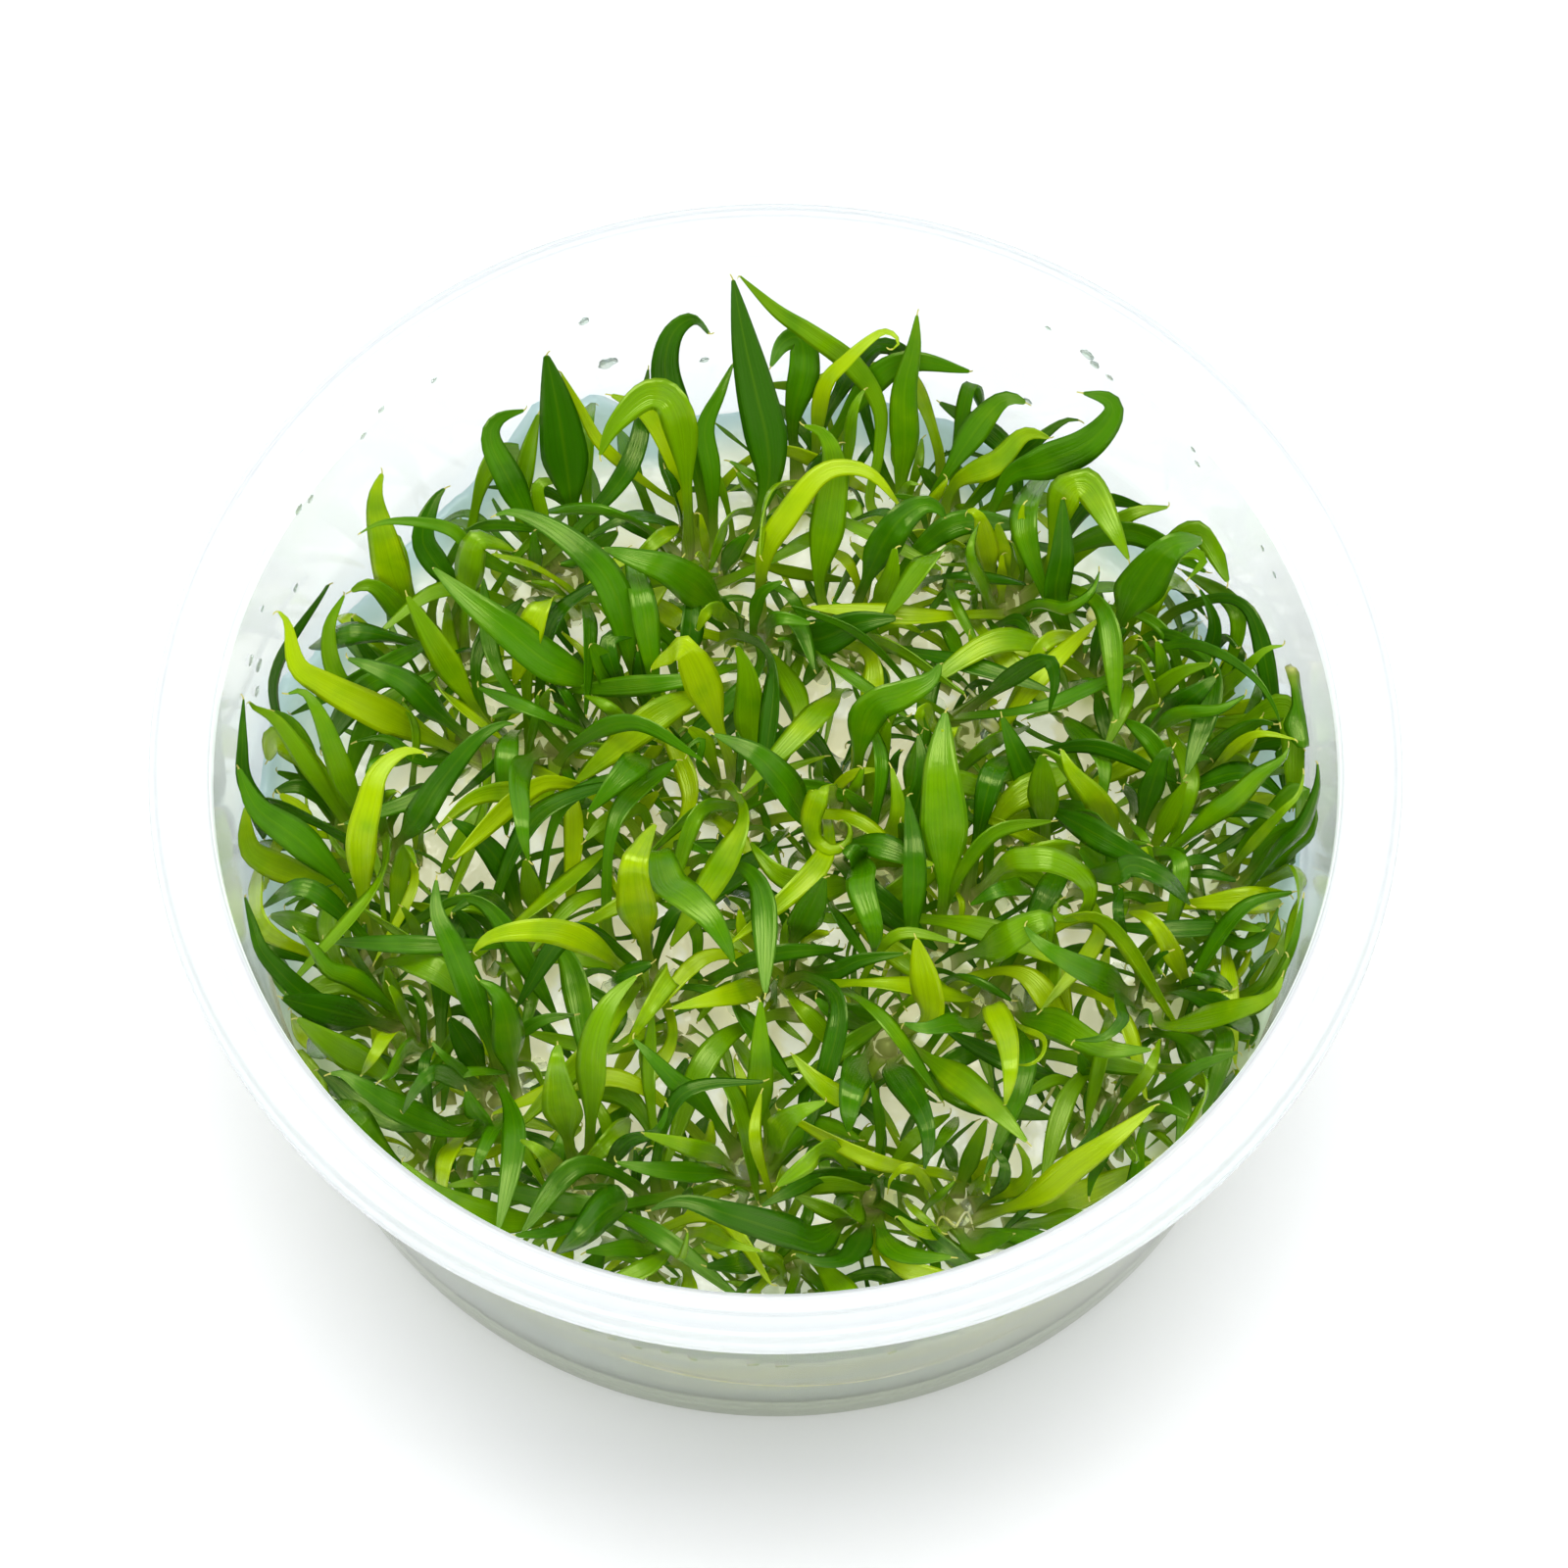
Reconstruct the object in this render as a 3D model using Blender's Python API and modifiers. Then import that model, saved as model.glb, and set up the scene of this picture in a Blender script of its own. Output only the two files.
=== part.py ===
"""A clear round cup of culture jelly, crowded with small cryptocoryne parva plantlets.

The cup stands on the origin with +Z up. Lengths below are millimetres, and meshes are made in metres.
"""
import math

import bmesh
import bpy
from mathutils import Matrix, Vector
from mathutils.bvhtree import BVHTree

MM = 0.001

# Cup
RIM_RADIUS = 50.0
CUP_HEIGHT = 43.5
BASE_RADIUS = 41.9
WALL_TOP_RADIUS = 45.8
WALL_TOP_Z = 42.0
WALL = 0.7
SKIRT_DROP = 1.6
FLOOR_Z = 1.3
PANEL_Z = 0.6
CUP_SEGMENTS = 48

# Culture jelly
GAP = 0.3
JELLY_Z = 19.1
JELLY_SEGMENTS = 30
JELLY_RINGS = (34.0, 23.0, 11.5)

# Crowns, whose pointed feet stand in sockets in the jelly
CROWN_DEPTH = 2.6
CROWN_SIDES = 5
KEEL_RADIUS = 1.2
KEEL_RISE = 0.8
CORNER_RADIUS = 1.15
CORNER_RISE = 1.7
SOCKET_SIDES = 6
SOCKET_FLARE = 1.15
SOCKET_TOP = 2.0

# Leaves
PETIOLE_WIDTH = 0.9
PETIOLE_DEPTH = 0.7
BLADE_DEPTH = 0.45
TIP_CEILING = 42.8
LEAF_ROLL = 0.3
CLEAR_OF_CROWN = 3.0
FOOT_RISE = 3.0
OWN_GAP = 0.12
LINE_MARGIN = 0.9
BROAD_EASE = 0.5
LEAST_SECTIONS = 5
BEND_PER_SECTION = 1.1

# The places of crowns and leaves are read on a level plan at PLAN_Z, as they look from EYE. Each point is
# slid along its line of sight to its own height, so that the tangle looks the same from there.
PLAN_Z = 30.0
EYE = Vector((0.7, -192.7, 476.2))

CROWNS = (
    (-17.5, 20.5), (-6.0, 22.0), (-2.0, 15.5), (6.0, 15.5), (13.0, 24.0), (19.0, 18.5), (26.5, 12.5),
    (-27.0, 14.0), (-23.0, 5.0), (-11.0, 7.0), (-3.0, 1.0), (6.0, -1.0), (15.0, 7.0), (28.5, 6.5),
    (-32.5, -4.0), (-32.0, -13.5), (-18.0, 6.0), (-19.5, -11.5), (-9.5, -4.5), (-10.0, -16.0),
    (0.5, -14.0), (8.5, -6.5), (13.0, -13.5), (21.5, -5.5), (29.0, -5.0), (33.5, 2.0), (36.0, -7.5),
    (18.0, -17.0), (30.0, -16.5), (27.0, -26.0), (14.5, -34.5), (9.0, -20.5), (7.5, -33.5), (-2.0, -31.0),
    (-15.5, -32.5), (-8.5, -36.0), (-22.0, -25.0), (-29.5, -20.0), (2.5, 28.5), (33.0, 9.0), (15.0, -8.5),
    (34.5, -17.5), (-27.0, -29.0), (0.5, -38.5),
)

# A leaf is its width, its height half-way and at the tip, then its middle line from foot to tip as points
# (x, y) on the plan. A point (x, y, z) has a height of its own.
LEAVES = (
    # Far left, by the wall
    (3.6, 31, 40, (-15.5, 24), (-17.3, 30), (-18, 35), (-18.7, 39), (-19.6, 43.2)),
    (1.6, 27, 34, (-20.4, 24), (-21.5, 28), (-21, 32), (-19.9, 37.5)),
    (2.3, 31, 35, (-20.5, 27), (-22.5, 31), (-24, 34.5), (-23.3, 36.5), (-20.7, 37.4)),
    (2.8, 30, 36, (-31.2, 20), (-32.7, 25), (-33.5, 29), (-32.8, 32)),
    (1.2, 33, 35, (-24.5, 23.5), (-27, 26), (-30, 26.8), (-33, 26.7), (-35.2, 25.4)),
    (2.0, 28, 31, (-26, 20), (-28, 22.5), (-29.5, 25.3), (-28.6, 28.7), (-27.4, 30.3)),
    (2.4, 31, 31, (-25, 19.5), (-26, 22), (-25.3, 24.2), (-23.5, 24.9), (-21.5, 23.8)),
    (2.6, 35, 36, (-12, 14), (-12.7, 18), (-14, 21.5), (-16, 24), (-19, 26.4), (-22, 27.7), (-24, 27.2)),
    (2.6, 32, 38, (-26, 6.5), (-33, 9.5), (-37.5, 12), (-39.6, 13.7), (-40.5, 17.5), (-42.6, 19.3)),
    (1.8, 26, 28, (-30, 18.5), (-33, 20.6), (-35.8, 20.2)),
    (2.2, 33, 35, (-25.5, 7), (-28, 9.5), (-30.5, 12), (-33.5, 13.5), (-35.9, 14.4)),
    (2.2, 28, 33, (-24.5, 8), (-27.3, 14), (-29, 17), (-31, 20.6)),
    (3.0, 30, 33, (-14.5, 11.5), (-19, 14), (-22.5, 17), (-26, 20), (-29, 23)),
    # Far side, by the wall
    (3.3, 32, 42.3, (-2.5, 25), (-0.7, 30), (-0.7, 34), (-1.7, 39), (-2.7, 44), (-3.8, 50.5)),
    (1.8, 31, 42, (8, 28), (8.6, 33), (8.7, 37.5), (6.5, 41.5), (3, 44.5), (0, 46.8), (-3.5, 51)),
    (2.6, 31, 34, (1, 31), (1.4, 36), (2.3, 41), (2, 44.1), (0.5, 43.6), (-0.6, 41)),
    (1.3, 34, 36, (3.9, 38.8), (6, 42), (9, 44.7), (10.4, 43.8), (9.5, 42.7)),
    (2.3, 30, 39, (10.5, 29), (10.8, 34), (10.8, 39), (11.7, 43.5), (12, 47)),
    (2.6, 31, 38, (-6, 27), (-6.8, 32), (-8.3, 36.5), (-9.4, 41), (-8.8, 44.5), (-7, 46), (-5.5, 44.2)),
    (2.8, 33, 33, (-7, 31), (-8, 36), (-10.5, 38.8), (-13.5, 36), (-15, 32.5)),
    (1.6, 28, 33, (-5.4, 31), (-6, 35.5), (-4.7, 39), (-3.4, 42.3)),
    (1.9, 33, 32, (-2.5, 20.5), (-1, 23.5), (1, 27.5), (3.5, 31), (5.8, 31.9), (8.3, 31), (10.8, 27.6)),
    (2.7, 30, 35, (3.6, 21), (4.4, 27), (4.9, 32), (4, 35), (1.8, 36)),
    (2.8, 33, 32, (5.5, 18.5), (7, 21.5), (9.3, 25.5), (12, 28.3), (13.6, 28), (14.3, 26.7)),
    (2.0, 29, 34, (13, 28.6), (15, 30.3), (18.5, 32.3), (21, 35), (23.4, 34.5)),
    (3.0, 33, 34, (-4.7, 19.6), (-8, 21.8), (-12, 23.5), (-14.9, 24.5)),
    (3.0, 28, 30, (3.5, 16), (7, 17.5), (10.6, 18)),
    (2.0, 28, 33, (8.6, 17.6), (9.5, 21), (10, 25)),
    # Far right, by the wall
    (3.0, 33, 38, (17.5, 27), (19.5, 31), (22.5, 32.3), (26, 34), (28.2, 36.5), (28.1, 38.3), (25.4, 39)),
    (1.8, 31, 33, (17.8, 20), (17.7, 23.5), (17.1, 27), (15.6, 27.9)),
    (1.3, 28, 31, (17.2, 20), (16.2, 23.5), (17, 27)),
    (2.3, 30, 36, (23.3, 19.3), (23.8, 24), (24, 29.7)),
    (2.8, 37, 35, (22.5, 22), (24, 29), (26, 30.2), (28, 26.5), (29.6, 22.8)),
    (3.8, 35, 37, (24.5, 14.5), (26.5, 16.7), (29.5, 20.3), (32, 23.5), (36.1, 25.3)),
    (1.3, 28, 33, (35.5, 14), (36.4, 17.5), (35, 21.1)),
    (1.4, 34, 37, (35.5, 10), (38, 12.5), (40.5, 15), (43.8, 15.8)),
    (1.0, 33, 34, (33, 15.5), (36.5, 14.8), (39.5, 12.5), (41, 10), (41.6, 7.8)),
    (1.4, 30, 33, (20.8, 19.8), (19.5, 23), (18.5, 27)),
    (1.2, 30, 32, (21.5, 19.2), (24, 18.8), (26.2, 20.3), (27, 22.5)),
    # Left, from the wall to half-way in
    (1.6, 31, 38, (-37, -4), (-41, -0.5), (-43.7, 3), (-45, 7), (-45.4, 11.5)),
    (1.5, 29, 36, (-35.5, -3), (-38, 4), (-41, 8.5), (-43, 9.8), (-44.9, 10.8)),
    (2.6, 31, 37, (-33, -9), (-35.5, -5.5), (-39, -2), (-42.5, 0.8), (-45.6, 5)),
    (2.3, 34, 36, (-33.4, -9), (-33.8, -3), (-33.3, 1), (-32.5, 4), (-30.5, 5.8), (-28.3, 5.6)),
    (1.9, 31, 35, (-34, -1), (-34.9, 2), (-36, 5), (-37.5, 9), (-39, 11.2), (-40.7, 10.8)),
    (2.2, 35, 37, (-31, -4), (-29.5, -0.5), (-27.5, 3), (-24.5, 7), (-22, 8.4), (-21.3, 7.6)),
    (1.6, 28, 30, (-19, 1.5), (-22, 2.2), (-25, 1.5), (-28, -1.5)),
    (2.0, 36, 33, (-20.5, 8), (-21, 4), (-20.8, 0), (-20.5, -2.2), (-20, -4.4)),
    (2.0, 27, 31, (-20.8, -9), (-22, -5), (-24.5, -1.7), (-27, 0)),
    (1.8, 25, 29, (-18, -9.5), (-19, -7), (-20.5, -3.5)),
    (2.2, 34, 37, (-22.5, -20), (-24, -17), (-26, -12), (-27.5, -8.5), (-27.6, -5)),
    (2.2, 36, 35, (-12, -15), (-13.5, -12.4), (-16.5, -10.5), (-19.5, -10), (-23, -10.6), (-24.8, -12.3)),
    (1.6, 29, 34, (-33.5, -14.6), (-36, -13.5), (-37.5, -11.5), (-39.3, -9.7)),
    (1.8, 31, 37, (-35, -17.8), (-37, -16.5), (-39, -14.8), (-41.5, -12), (-42.7, -9.5), (-43.7, -6.5)),
    (1.5, 31, 31, (-31, -10), (-30.6, -6), (-30, -2.8), (-29.2, -4.6)),
    # Middle
    (2.3, 32, 27, (7, -4.7), (6.9, -6.2), (7.7, -9), (8, -10.5), (7.9, -12.3)),
    (2.8, 36, 37, (-2.5, 4), (-3.5, 8.5), (-4.8, 12), (-7, 14.3), (-9, 14.3), (-10.6, 13)),
    (2.5, 28, 35, (-1.5, 2), (-2, 7), (-2.2, 12), (-3.5, 16)),
    (2.9, 34, 36, (3, -1), (1.8, 1), (0.3, 3.4), (-2, 5.8), (-5.6, 7.6)),
    (1.9, 34, 31, (6.3, 1, 31), (5.8, 4, 36), (5, 4.6, 37.5), (4, 2.5, 37), (2.9, 0, 35),
     (3.2, -2, 32)),
    (2.9, 33, 35, (6.2, 2.5), (5.8, 6), (7.5, 9), (10.5, 11), (12.8, 12.3), (13.8, 14.2)),
    (1.6, 36, 32, (12.5, 11.5), (14.5, 13), (18, 13.9), (21.5, 14), (23, 12.6), (22.4, 8.8)),
    (1.8, 27, 29, (7, 2), (7.5, 5), (9.5, 9)),
    (1.2, 33, 30, (14, 9), (13.8, 10.4), (13.3, 7), (13, 5.1)),
    (1.6, 34, 31, (15.5, 10), (15, 11), (14.3, 8), (14, 5.5)),
    (3.6, 32, 35, (13, -11), (13.7, -6), (13.8, 0), (13.6, 5), (14, 10)),
    (2.0, 29, 32, (10.5, -4), (12, 3), (11.6, 8)),
    (1.5, 27, 30, (9.2, -3), (10, 0), (9.4, 5)),
    (2.2, 29, 32, (-11, 9), (-12.5, 12), (-15.5, 16)),
    (1.6, 27, 30, (-10.2, 8), (-10.4, 11), (-11.5, 15.5)),
    (1.4, 26, 28, (-11.5, 8), (-13.5, 9.5), (-16, 11)),
    (1.0, 29, 28, (-5, 2), (-6.2, 4.5), (-6, 6.8), (-7, 6.4), (-7.3, 5.3)),
    (3.0, 36, 37, (-10.5, -14), (-11, -11.5), (-11.5, -8.5), (-11.5, -5.5), (-10.8, -2.5), (-9.6, -0.3)),
    (2.8, 35, 33, (-9.2, -1), (-9.6, -3), (-8.8, -5.8), (-7, -7.3), (-5.3, -9), (-4, -11.3), (-3.2, -13.3)),
    (1.8, 30, 33, (-5.5, -5.8), (-4.4, -4.5), (-4.1, -3), (-4.8, -1.4)),
    (2.2, 29, 30, (6, -6), (3.5, -6.3), (0.5, -5.3), (-1.2, -3.6), (-2.3, -1.9)),
    (2.6, 34, 37, (-0.9, -13.4), (-0.2, -11.5), (1, -9), (2.5, -6.5), (4.1, -5.1)),
    (2.8, 36, 38, (12.4, -17.5), (11.5, -15), (10.9, -12.5), (11.3, -10.3)),
    (2.7, 35, 33, (13.8, -12.2), (15.5, -11.5), (18, -11.2), (20.3, -9.8), (22.2, -9.4), (21.9, -12.6)),
    (1.4, 27, 29, (2.5, -14.5), (4.5, -13.7), (7, -12.6), (11, -12)),
    (2.0, 34, 31, (-9.6, -12.8), (-8.6, -13.2), (-8.5, -14), (-9.4, -15.5), (-10.6, -17.6), (-12, -20.2)),
    # Right, from half-way out to the wall
    (1.5, 31, 34, (29.5, 8.2), (31, 8.6), (33, 9), (36.5, 9.6), (39.2, 11.2)),
    (2.4, 29, 33, (29, 6.3), (31, 8), (34, 10.5), (36.8, 13)),
    (1.5, 28, 32, (31, 11.6), (33, 12.6), (36.5, 13.9)),
    (1.9, 30, 34, (34, 6.3), (36, 7.5), (39, 8.2), (41.6, 8.1)),
    (0.9, 32, 34, (34, 5.4), (36, 6.1), (39, 7.2), (43.3, 6.8)),
    (1.8, 30, 34, (35.5, 0), (37.5, 1.5), (39.6, 3.7), (41.6, 5.2), (42.3, 6.8)),
    (1.3, 33, 38, (39.5, -4.5), (41.5, -2.5), (43, -0.8), (44.8, 2.5), (45.7, 5.5)),
    (0.9, 32, 35, (38.5, -1.5), (41, 0), (42.8, 2), (43.4, 4.4)),
    (2.9, 34, 39, (34.5, -6.3), (37.5, -4.2), (41, -2.5), (44.5, -0.9), (47, 1.8)),
    (1.4, 31, 34, (34, 0.6), (36, 0.7), (40, 0.4), (43.5, -2.2)),
    (2.5, 33, 36, (20.7, -4), (21.4, -2), (22.5, 1.3), (22.3, 4.3), (21.9, 6)),
    (2.3, 28, 34, (21.6, -2), (21.4, 1), (20, 5), (18.4, 9.5)),
    (2.2, 30, 33, (27.5, -2.7), (26.5, 1), (24.3, 4), (23.2, 6.6)),
    (2.5, 26, 29, (27.5, -5.2), (26.5, -4.5), (24.5, -2.5)),
    (1.8, 33, 32, (27.7, -5), (28.6, -4.4), (29.9, -4.5), (32, -5.8), (33.8, -8)),
    (1.9, 35, 31, (18, -5.2, 29), (18.6, -4.3, 33), (20.5, -3.8, 36), (22.5, -3.9, 36.5), (24.5, -4.9, 35),
     (25.6, -6.5, 33), (24.9, -8.6, 31)),
    (2.0, 28, 31, (20, -6.3), (18, -6.6), (15.5, -8)),
    (1.5, 31, 29, (33, -15), (32.6, -12.5), (31, -9.8), (28.3, -8.3)),
    (1.4, 32, 36, (38, -17), (40, -15.6), (41.5, -14), (42.4, -12)),
    (2.0, 30, 33, (28.4, -2), (29, 2), (31.5, 4.8), (33, 6.3)),
    (1.6, 27, 30, (30.5, -3), (32, -1), (33.8, 3.5)),
    (2.3, 34, 36, (29, -16), (26.5, -14.3), (23.5, -12.7), (21.2, -11), (19.9, -9.3)),
    # Near left
    (2.7, 33, 38, (-31, -19.8), (-32.5, -18.8), (-35, -17.3), (-38, -16.5), (-41, -16.3)),
    (2.4, 29, 33, (-31.5, -22.5), (-33.5, -21.3), (-36.5, -19.3), (-39, -17.3)),
    (2.6, 33, 36, (-24.8, -27.4), (-27, -27), (-30.5, -25.4), (-33.2, -23.6), (-34.8, -22.5), (-36.9, -23)),
    (1.6, 33, 31, (-30, -18.3), (-31, -19), (-32.3, -21), (-33.3, -22.8)),
    (2.0, 32, 31, (-29.2, -19), (-29.8, -20.5), (-31, -22.6), (-32.3, -23.3)),
    (1.5, 35, 33, (-22, -23), (-24, -22.6), (-27, -22.4), (-28.8, -23.8), (-30, -26.3)),
    (3.0, 35, 39, (-16.1, -30), (-16.8, -28), (-17.2, -25), (-17.4, -22.5), (-17.5, -19.4)),
    (1.3, 30, 27, (-22.4, -27), (-23.1, -28.5), (-23.7, -30), (-24, -31.9)),
    (1.0, 27, 31, (-29.5, -30.5), (-31, -29.5), (-32, -28), (-32.8, -26)),
    (2.2, 31, 36, (-18, -34.6), (-20.5, -35), (-23.5, -34.3), (-27, -32.6), (-29.3, -30.8), (-30.5, -29.8)),
    (1.6, 30, 33, (-16, -35), (-17.5, -36), (-21.2, -36.2)),
    (1.6, 32, 33, (-16.1, -32), (-17, -31), (-18.5, -29.3), (-20.8, -27.9)),
    (2.6, 30, 33, (-20.6, -21), (-21.2, -19), (-22, -16.5), (-24.5, -14)),
    (2.2, 27, 30, (-22.4, -22), (-24, -20), (-26.5, -17.3)),
    # Near side
    (2.4, 33, 36, (-14.4, -29.5), (-14.7, -25), (-14.6, -20), (-13.3, -16.3), (-10.8, -13.6)),
    (1.6, 30, 33, (-6, -24.8), (-8, -23.2), (-10, -21), (-11.9, -19)),
    (1.9, 31, 33, (-0.5, -14.7), (-2, -15.2), (-5, -16), (-9, -17)),
    (2.0, 29, 33, (-1.2, -27), (-1.2, -23), (-1.2, -20), (-1.2, -15.5)),
    (1.3, 31, 35, (-14, -29.2), (-12, -28.4), (-9.5, -27.4), (-8.4, -24.7)),
    (1.6, 32, 34, (-2.8, -30.5), (-4.5, -29.6), (-7, -28.7), (-11.1, -27.4)),
    (1.7, 29, 31, (-4.5, -31), (-7, -30.9), (-10, -30.6), (-13.3, -29.9)),
    (2.7, 34, 36, (3.5, -36.6), (1, -36), (-3.5, -34.5), (-7.5, -33.3), (-10.5, -34.3)),
    (2.5, 34, 37, (-2.4, -29.3), (-1.2, -27.8), (1, -26.4), (4.6, -24.6)),
    (2.6, 37, 34, (8, -19), (7.2, -19.6), (6.4, -22.8), (5.9, -25.5), (5.8, -27.8)),
    (2.0, 29, 31, (6, -24.5), (3.5, -23.3), (1, -20.4)),
    (1.8, 29, 30, (0.5, -28.5), (2.5, -27.5), (4.5, -27.2), (7.1, -28.3)),
    (2.3, 36, 33, (9.2, -21.9), (10, -22.8), (11.6, -25.5), (12.2, -28), (11.8, -31)),
    (2.4, 31, 33, (10.2, -20.1), (12, -21), (15.3, -23.5), (18, -26), (20.5, -28.8)),
    (1.9, 34, 35, (15.7, -18.4), (14.3, -18.2), (12, -18.6), (9.9, -18)),
    (0.8, 32, 29, (14.8, -33), (14.6, -31.8), (13.3, -30.6), (11, -30.4), (9.3, -31.3), (8.9, -32.6)),
    (1.4, 28, 31, (14, -31.5), (14.2, -29.5), (15.3, -28), (17, -26)),
    (2.0, 28, 31, (-1, -38.5), (-3, -38.6), (-6, -38.8)),
    (1.4, 33, 35, (-6.8, -35.6), (-5.3, -36), (-3.3, -37), (-0.5, -37.6)),
    (1.5, 27, 30, (-10, -37.2), (-12, -37.3), (-15.5, -37.6)),
    (2.0, 30, 33, (6, -37.8), (3.5, -38.4), (1, -37.5)),
    (2.2, 27, 29, (6, -34.6), (4.5, -34.1), (1, -32.6)),
    (1.6, 27, 30, (7.4, -18.5), (4.6, -17.3), (2.8, -15.5)),
    # Near right
    (2.0, 36, 34, (17.4, -15), (17.5, -16.5), (18.6, -19.5), (18.8, -22.5), (18.3, -25.6)),
    (2.4, 32, 33, (20, -17.7), (22.5, -18.2), (26.5, -20.3), (30.8, -20.4)),
    (1.4, 34, 34, (27.8, -16, 32), (27.7, -16.7, 34), (27.9, -17.9, 35), (26.3, -19.4), (23.6, -19.6)),
    (2.4, 34, 38, (31, -18.2), (33, -18.2), (37, -17.1), (40, -15.8), (42.3, -14)),
    (1.2, 30, 33, (29, -25), (31.5, -23.4), (34, -21.8), (38, -20.5)),
    (2.2, 33, 36, (16.5, -35.2), (20.5, -33), (23.8, -30.4), (27, -28), (30.8, -24.8)),
    (1.0, 31, 35, (28.6, -29.8), (28.8, -29.4), (28, -28.4)),
    (1.3, 28, 31, (26, -29.5), (25.2, -31.5), (24.8, -33.5)),
    (1.2, 27, 31, (17, -33.5), (19.5, -32), (20, -30), (19, -28)),
    (1.8, 31, 34, (15.4, -37), (17, -36.8), (19.2, -35.9)),
)


def wall_radius(z):
    """Outer radius of the cup's wall at height z."""
    return BASE_RADIUS + (WALL_TOP_RADIUS - BASE_RADIUS) * z / WALL_TOP_Z


def jelly_top(x, y):
    """Height of the jelly's uneven top."""
    return JELLY_Z + 0.45 * math.sin(0.21 * x + 1.3) * math.cos(0.17 * y - 0.6) + 0.3 * math.sin(0.4 * y + 0.2 * x)


def in_sight(x, y, z):
    """The point at height z that looks from EYE to be at x, y on the plan."""
    seen = Vector((x, y, PLAN_Z))
    return seen + (EYE - seen) * ((z - PLAN_Z) / (EYE.z - PLAN_Z))


def material(name, colour, roughness, transmission=0.0):
    made = bpy.data.materials.new(name)
    made.use_nodes = True
    shader = made.node_tree.nodes["Principled BSDF"]
    shader.inputs["Base Color"].default_value = (*colour, 1.0)
    shader.inputs["Roughness"].default_value = roughness
    shader.inputs["Metallic"].default_value = 0.0
    shader.inputs["Transmission Weight"].default_value = transmission
    return made


def add_object(name, mesh, collection, finish=None):
    made = bpy.data.objects.new(name, mesh)
    collection.objects.link(made)
    if finish:
        mesh.materials.append(finish)
    return made


def add_guide(name, mesh, collection):
    """A cutter, or a shape that is joined to another, and isn't a part itself."""
    guide = add_object(name, mesh, collection)
    guide.hide_render = True
    guide.display_type = "WIRE"
    return guide


def turned(name, profile, segments, collection, finish=None):
    """A profile of (radius, z) points turned about Z."""
    mesh = bpy.data.meshes.new(name)
    points = [(radius * MM, 0.0, z * MM) for radius, z in profile]
    mesh.from_pydata(points, [(i, i + 1) for i in range(len(points) - 1)], [])
    made = add_object(name, mesh, collection, finish)
    screw = made.modifiers.new("turn", "SCREW")
    screw.axis = "Z"
    screw.steps = screw.render_steps = segments
    screw.use_merge_vertices = True
    screw.merge_threshold = 0.00005
    return made


def add_boolean(target, tool, operation):
    cut = target.modifiers.new(operation.lower(), "BOOLEAN")
    cut.operation = operation
    cut.solver = "EXACT"
    cut.object = tool
    return cut


def cup_profile():
    """From the middle of the floor up the inside, over the rim and down the outside to the foot."""
    top = CUP_HEIGHT
    rim = RIM_RADIUS
    skirt = top - SKIRT_DROP
    inside = [
        (0.0, FLOOR_Z),
        (wall_radius(0) - 3.4, FLOOR_Z),
        (wall_radius(0) - 1.2, FLOOR_Z + 0.9),
        (wall_radius(4) - WALL, FLOOR_Z + 2.9),
        (wall_radius(41.9) - WALL, top - 1.6),
    ]
    over = [
        (rim - 4.6, top - 1.0),
        (rim - 3.1, top - 0.9),
        (rim - 1.1, top),
        (rim, top - 0.6),
        (rim, skirt),
        (rim - WALL, skirt),
        (rim - 0.9, top - 1.2),
        (rim - 3.0, top - 1.6),
        (wall_radius(41.7), top - 1.8),
    ]
    outside = [
        (wall_radius(4), 4.0),
        (wall_radius(1), 1.0),
        (wall_radius(0) - 0.3, 0.35),
        (wall_radius(0) - 1.4, 0.0),
        (wall_radius(0) - 6.4, 0.0),
        (wall_radius(0) - 7.3, PANEL_Z),
        (0.0, PANEL_Z),
    ]
    return inside + over + outside


def add_cup(collection):
    finish = material("cup", (0.93, 0.96, 0.96), 0.08, transmission=0.9)
    cup = turned("cup", cup_profile(), CUP_SEGMENTS, collection, finish)
    cup.modifiers["turn"].use_smooth_shade = True
    return cup


def jelly_profile():
    """From the middle of the top out to the wall, and down it to the floor."""
    top = [(0.0, JELLY_Z)] + [(radius, JELLY_Z) for radius in reversed(JELLY_RINGS)]
    side = [
        (wall_radius(JELLY_Z - 0.8) - WALL - 1.2 * GAP, JELLY_Z),
        (wall_radius(4) - WALL - 1.4 * GAP, FLOOR_Z + 3.0),
        (wall_radius(0) - 1.7, FLOOR_Z + 1.3),
        (wall_radius(0) - 3.6, FLOOR_Z + GAP),
        (0.0, FLOOR_Z + GAP),
    ]
    return top + side


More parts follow.
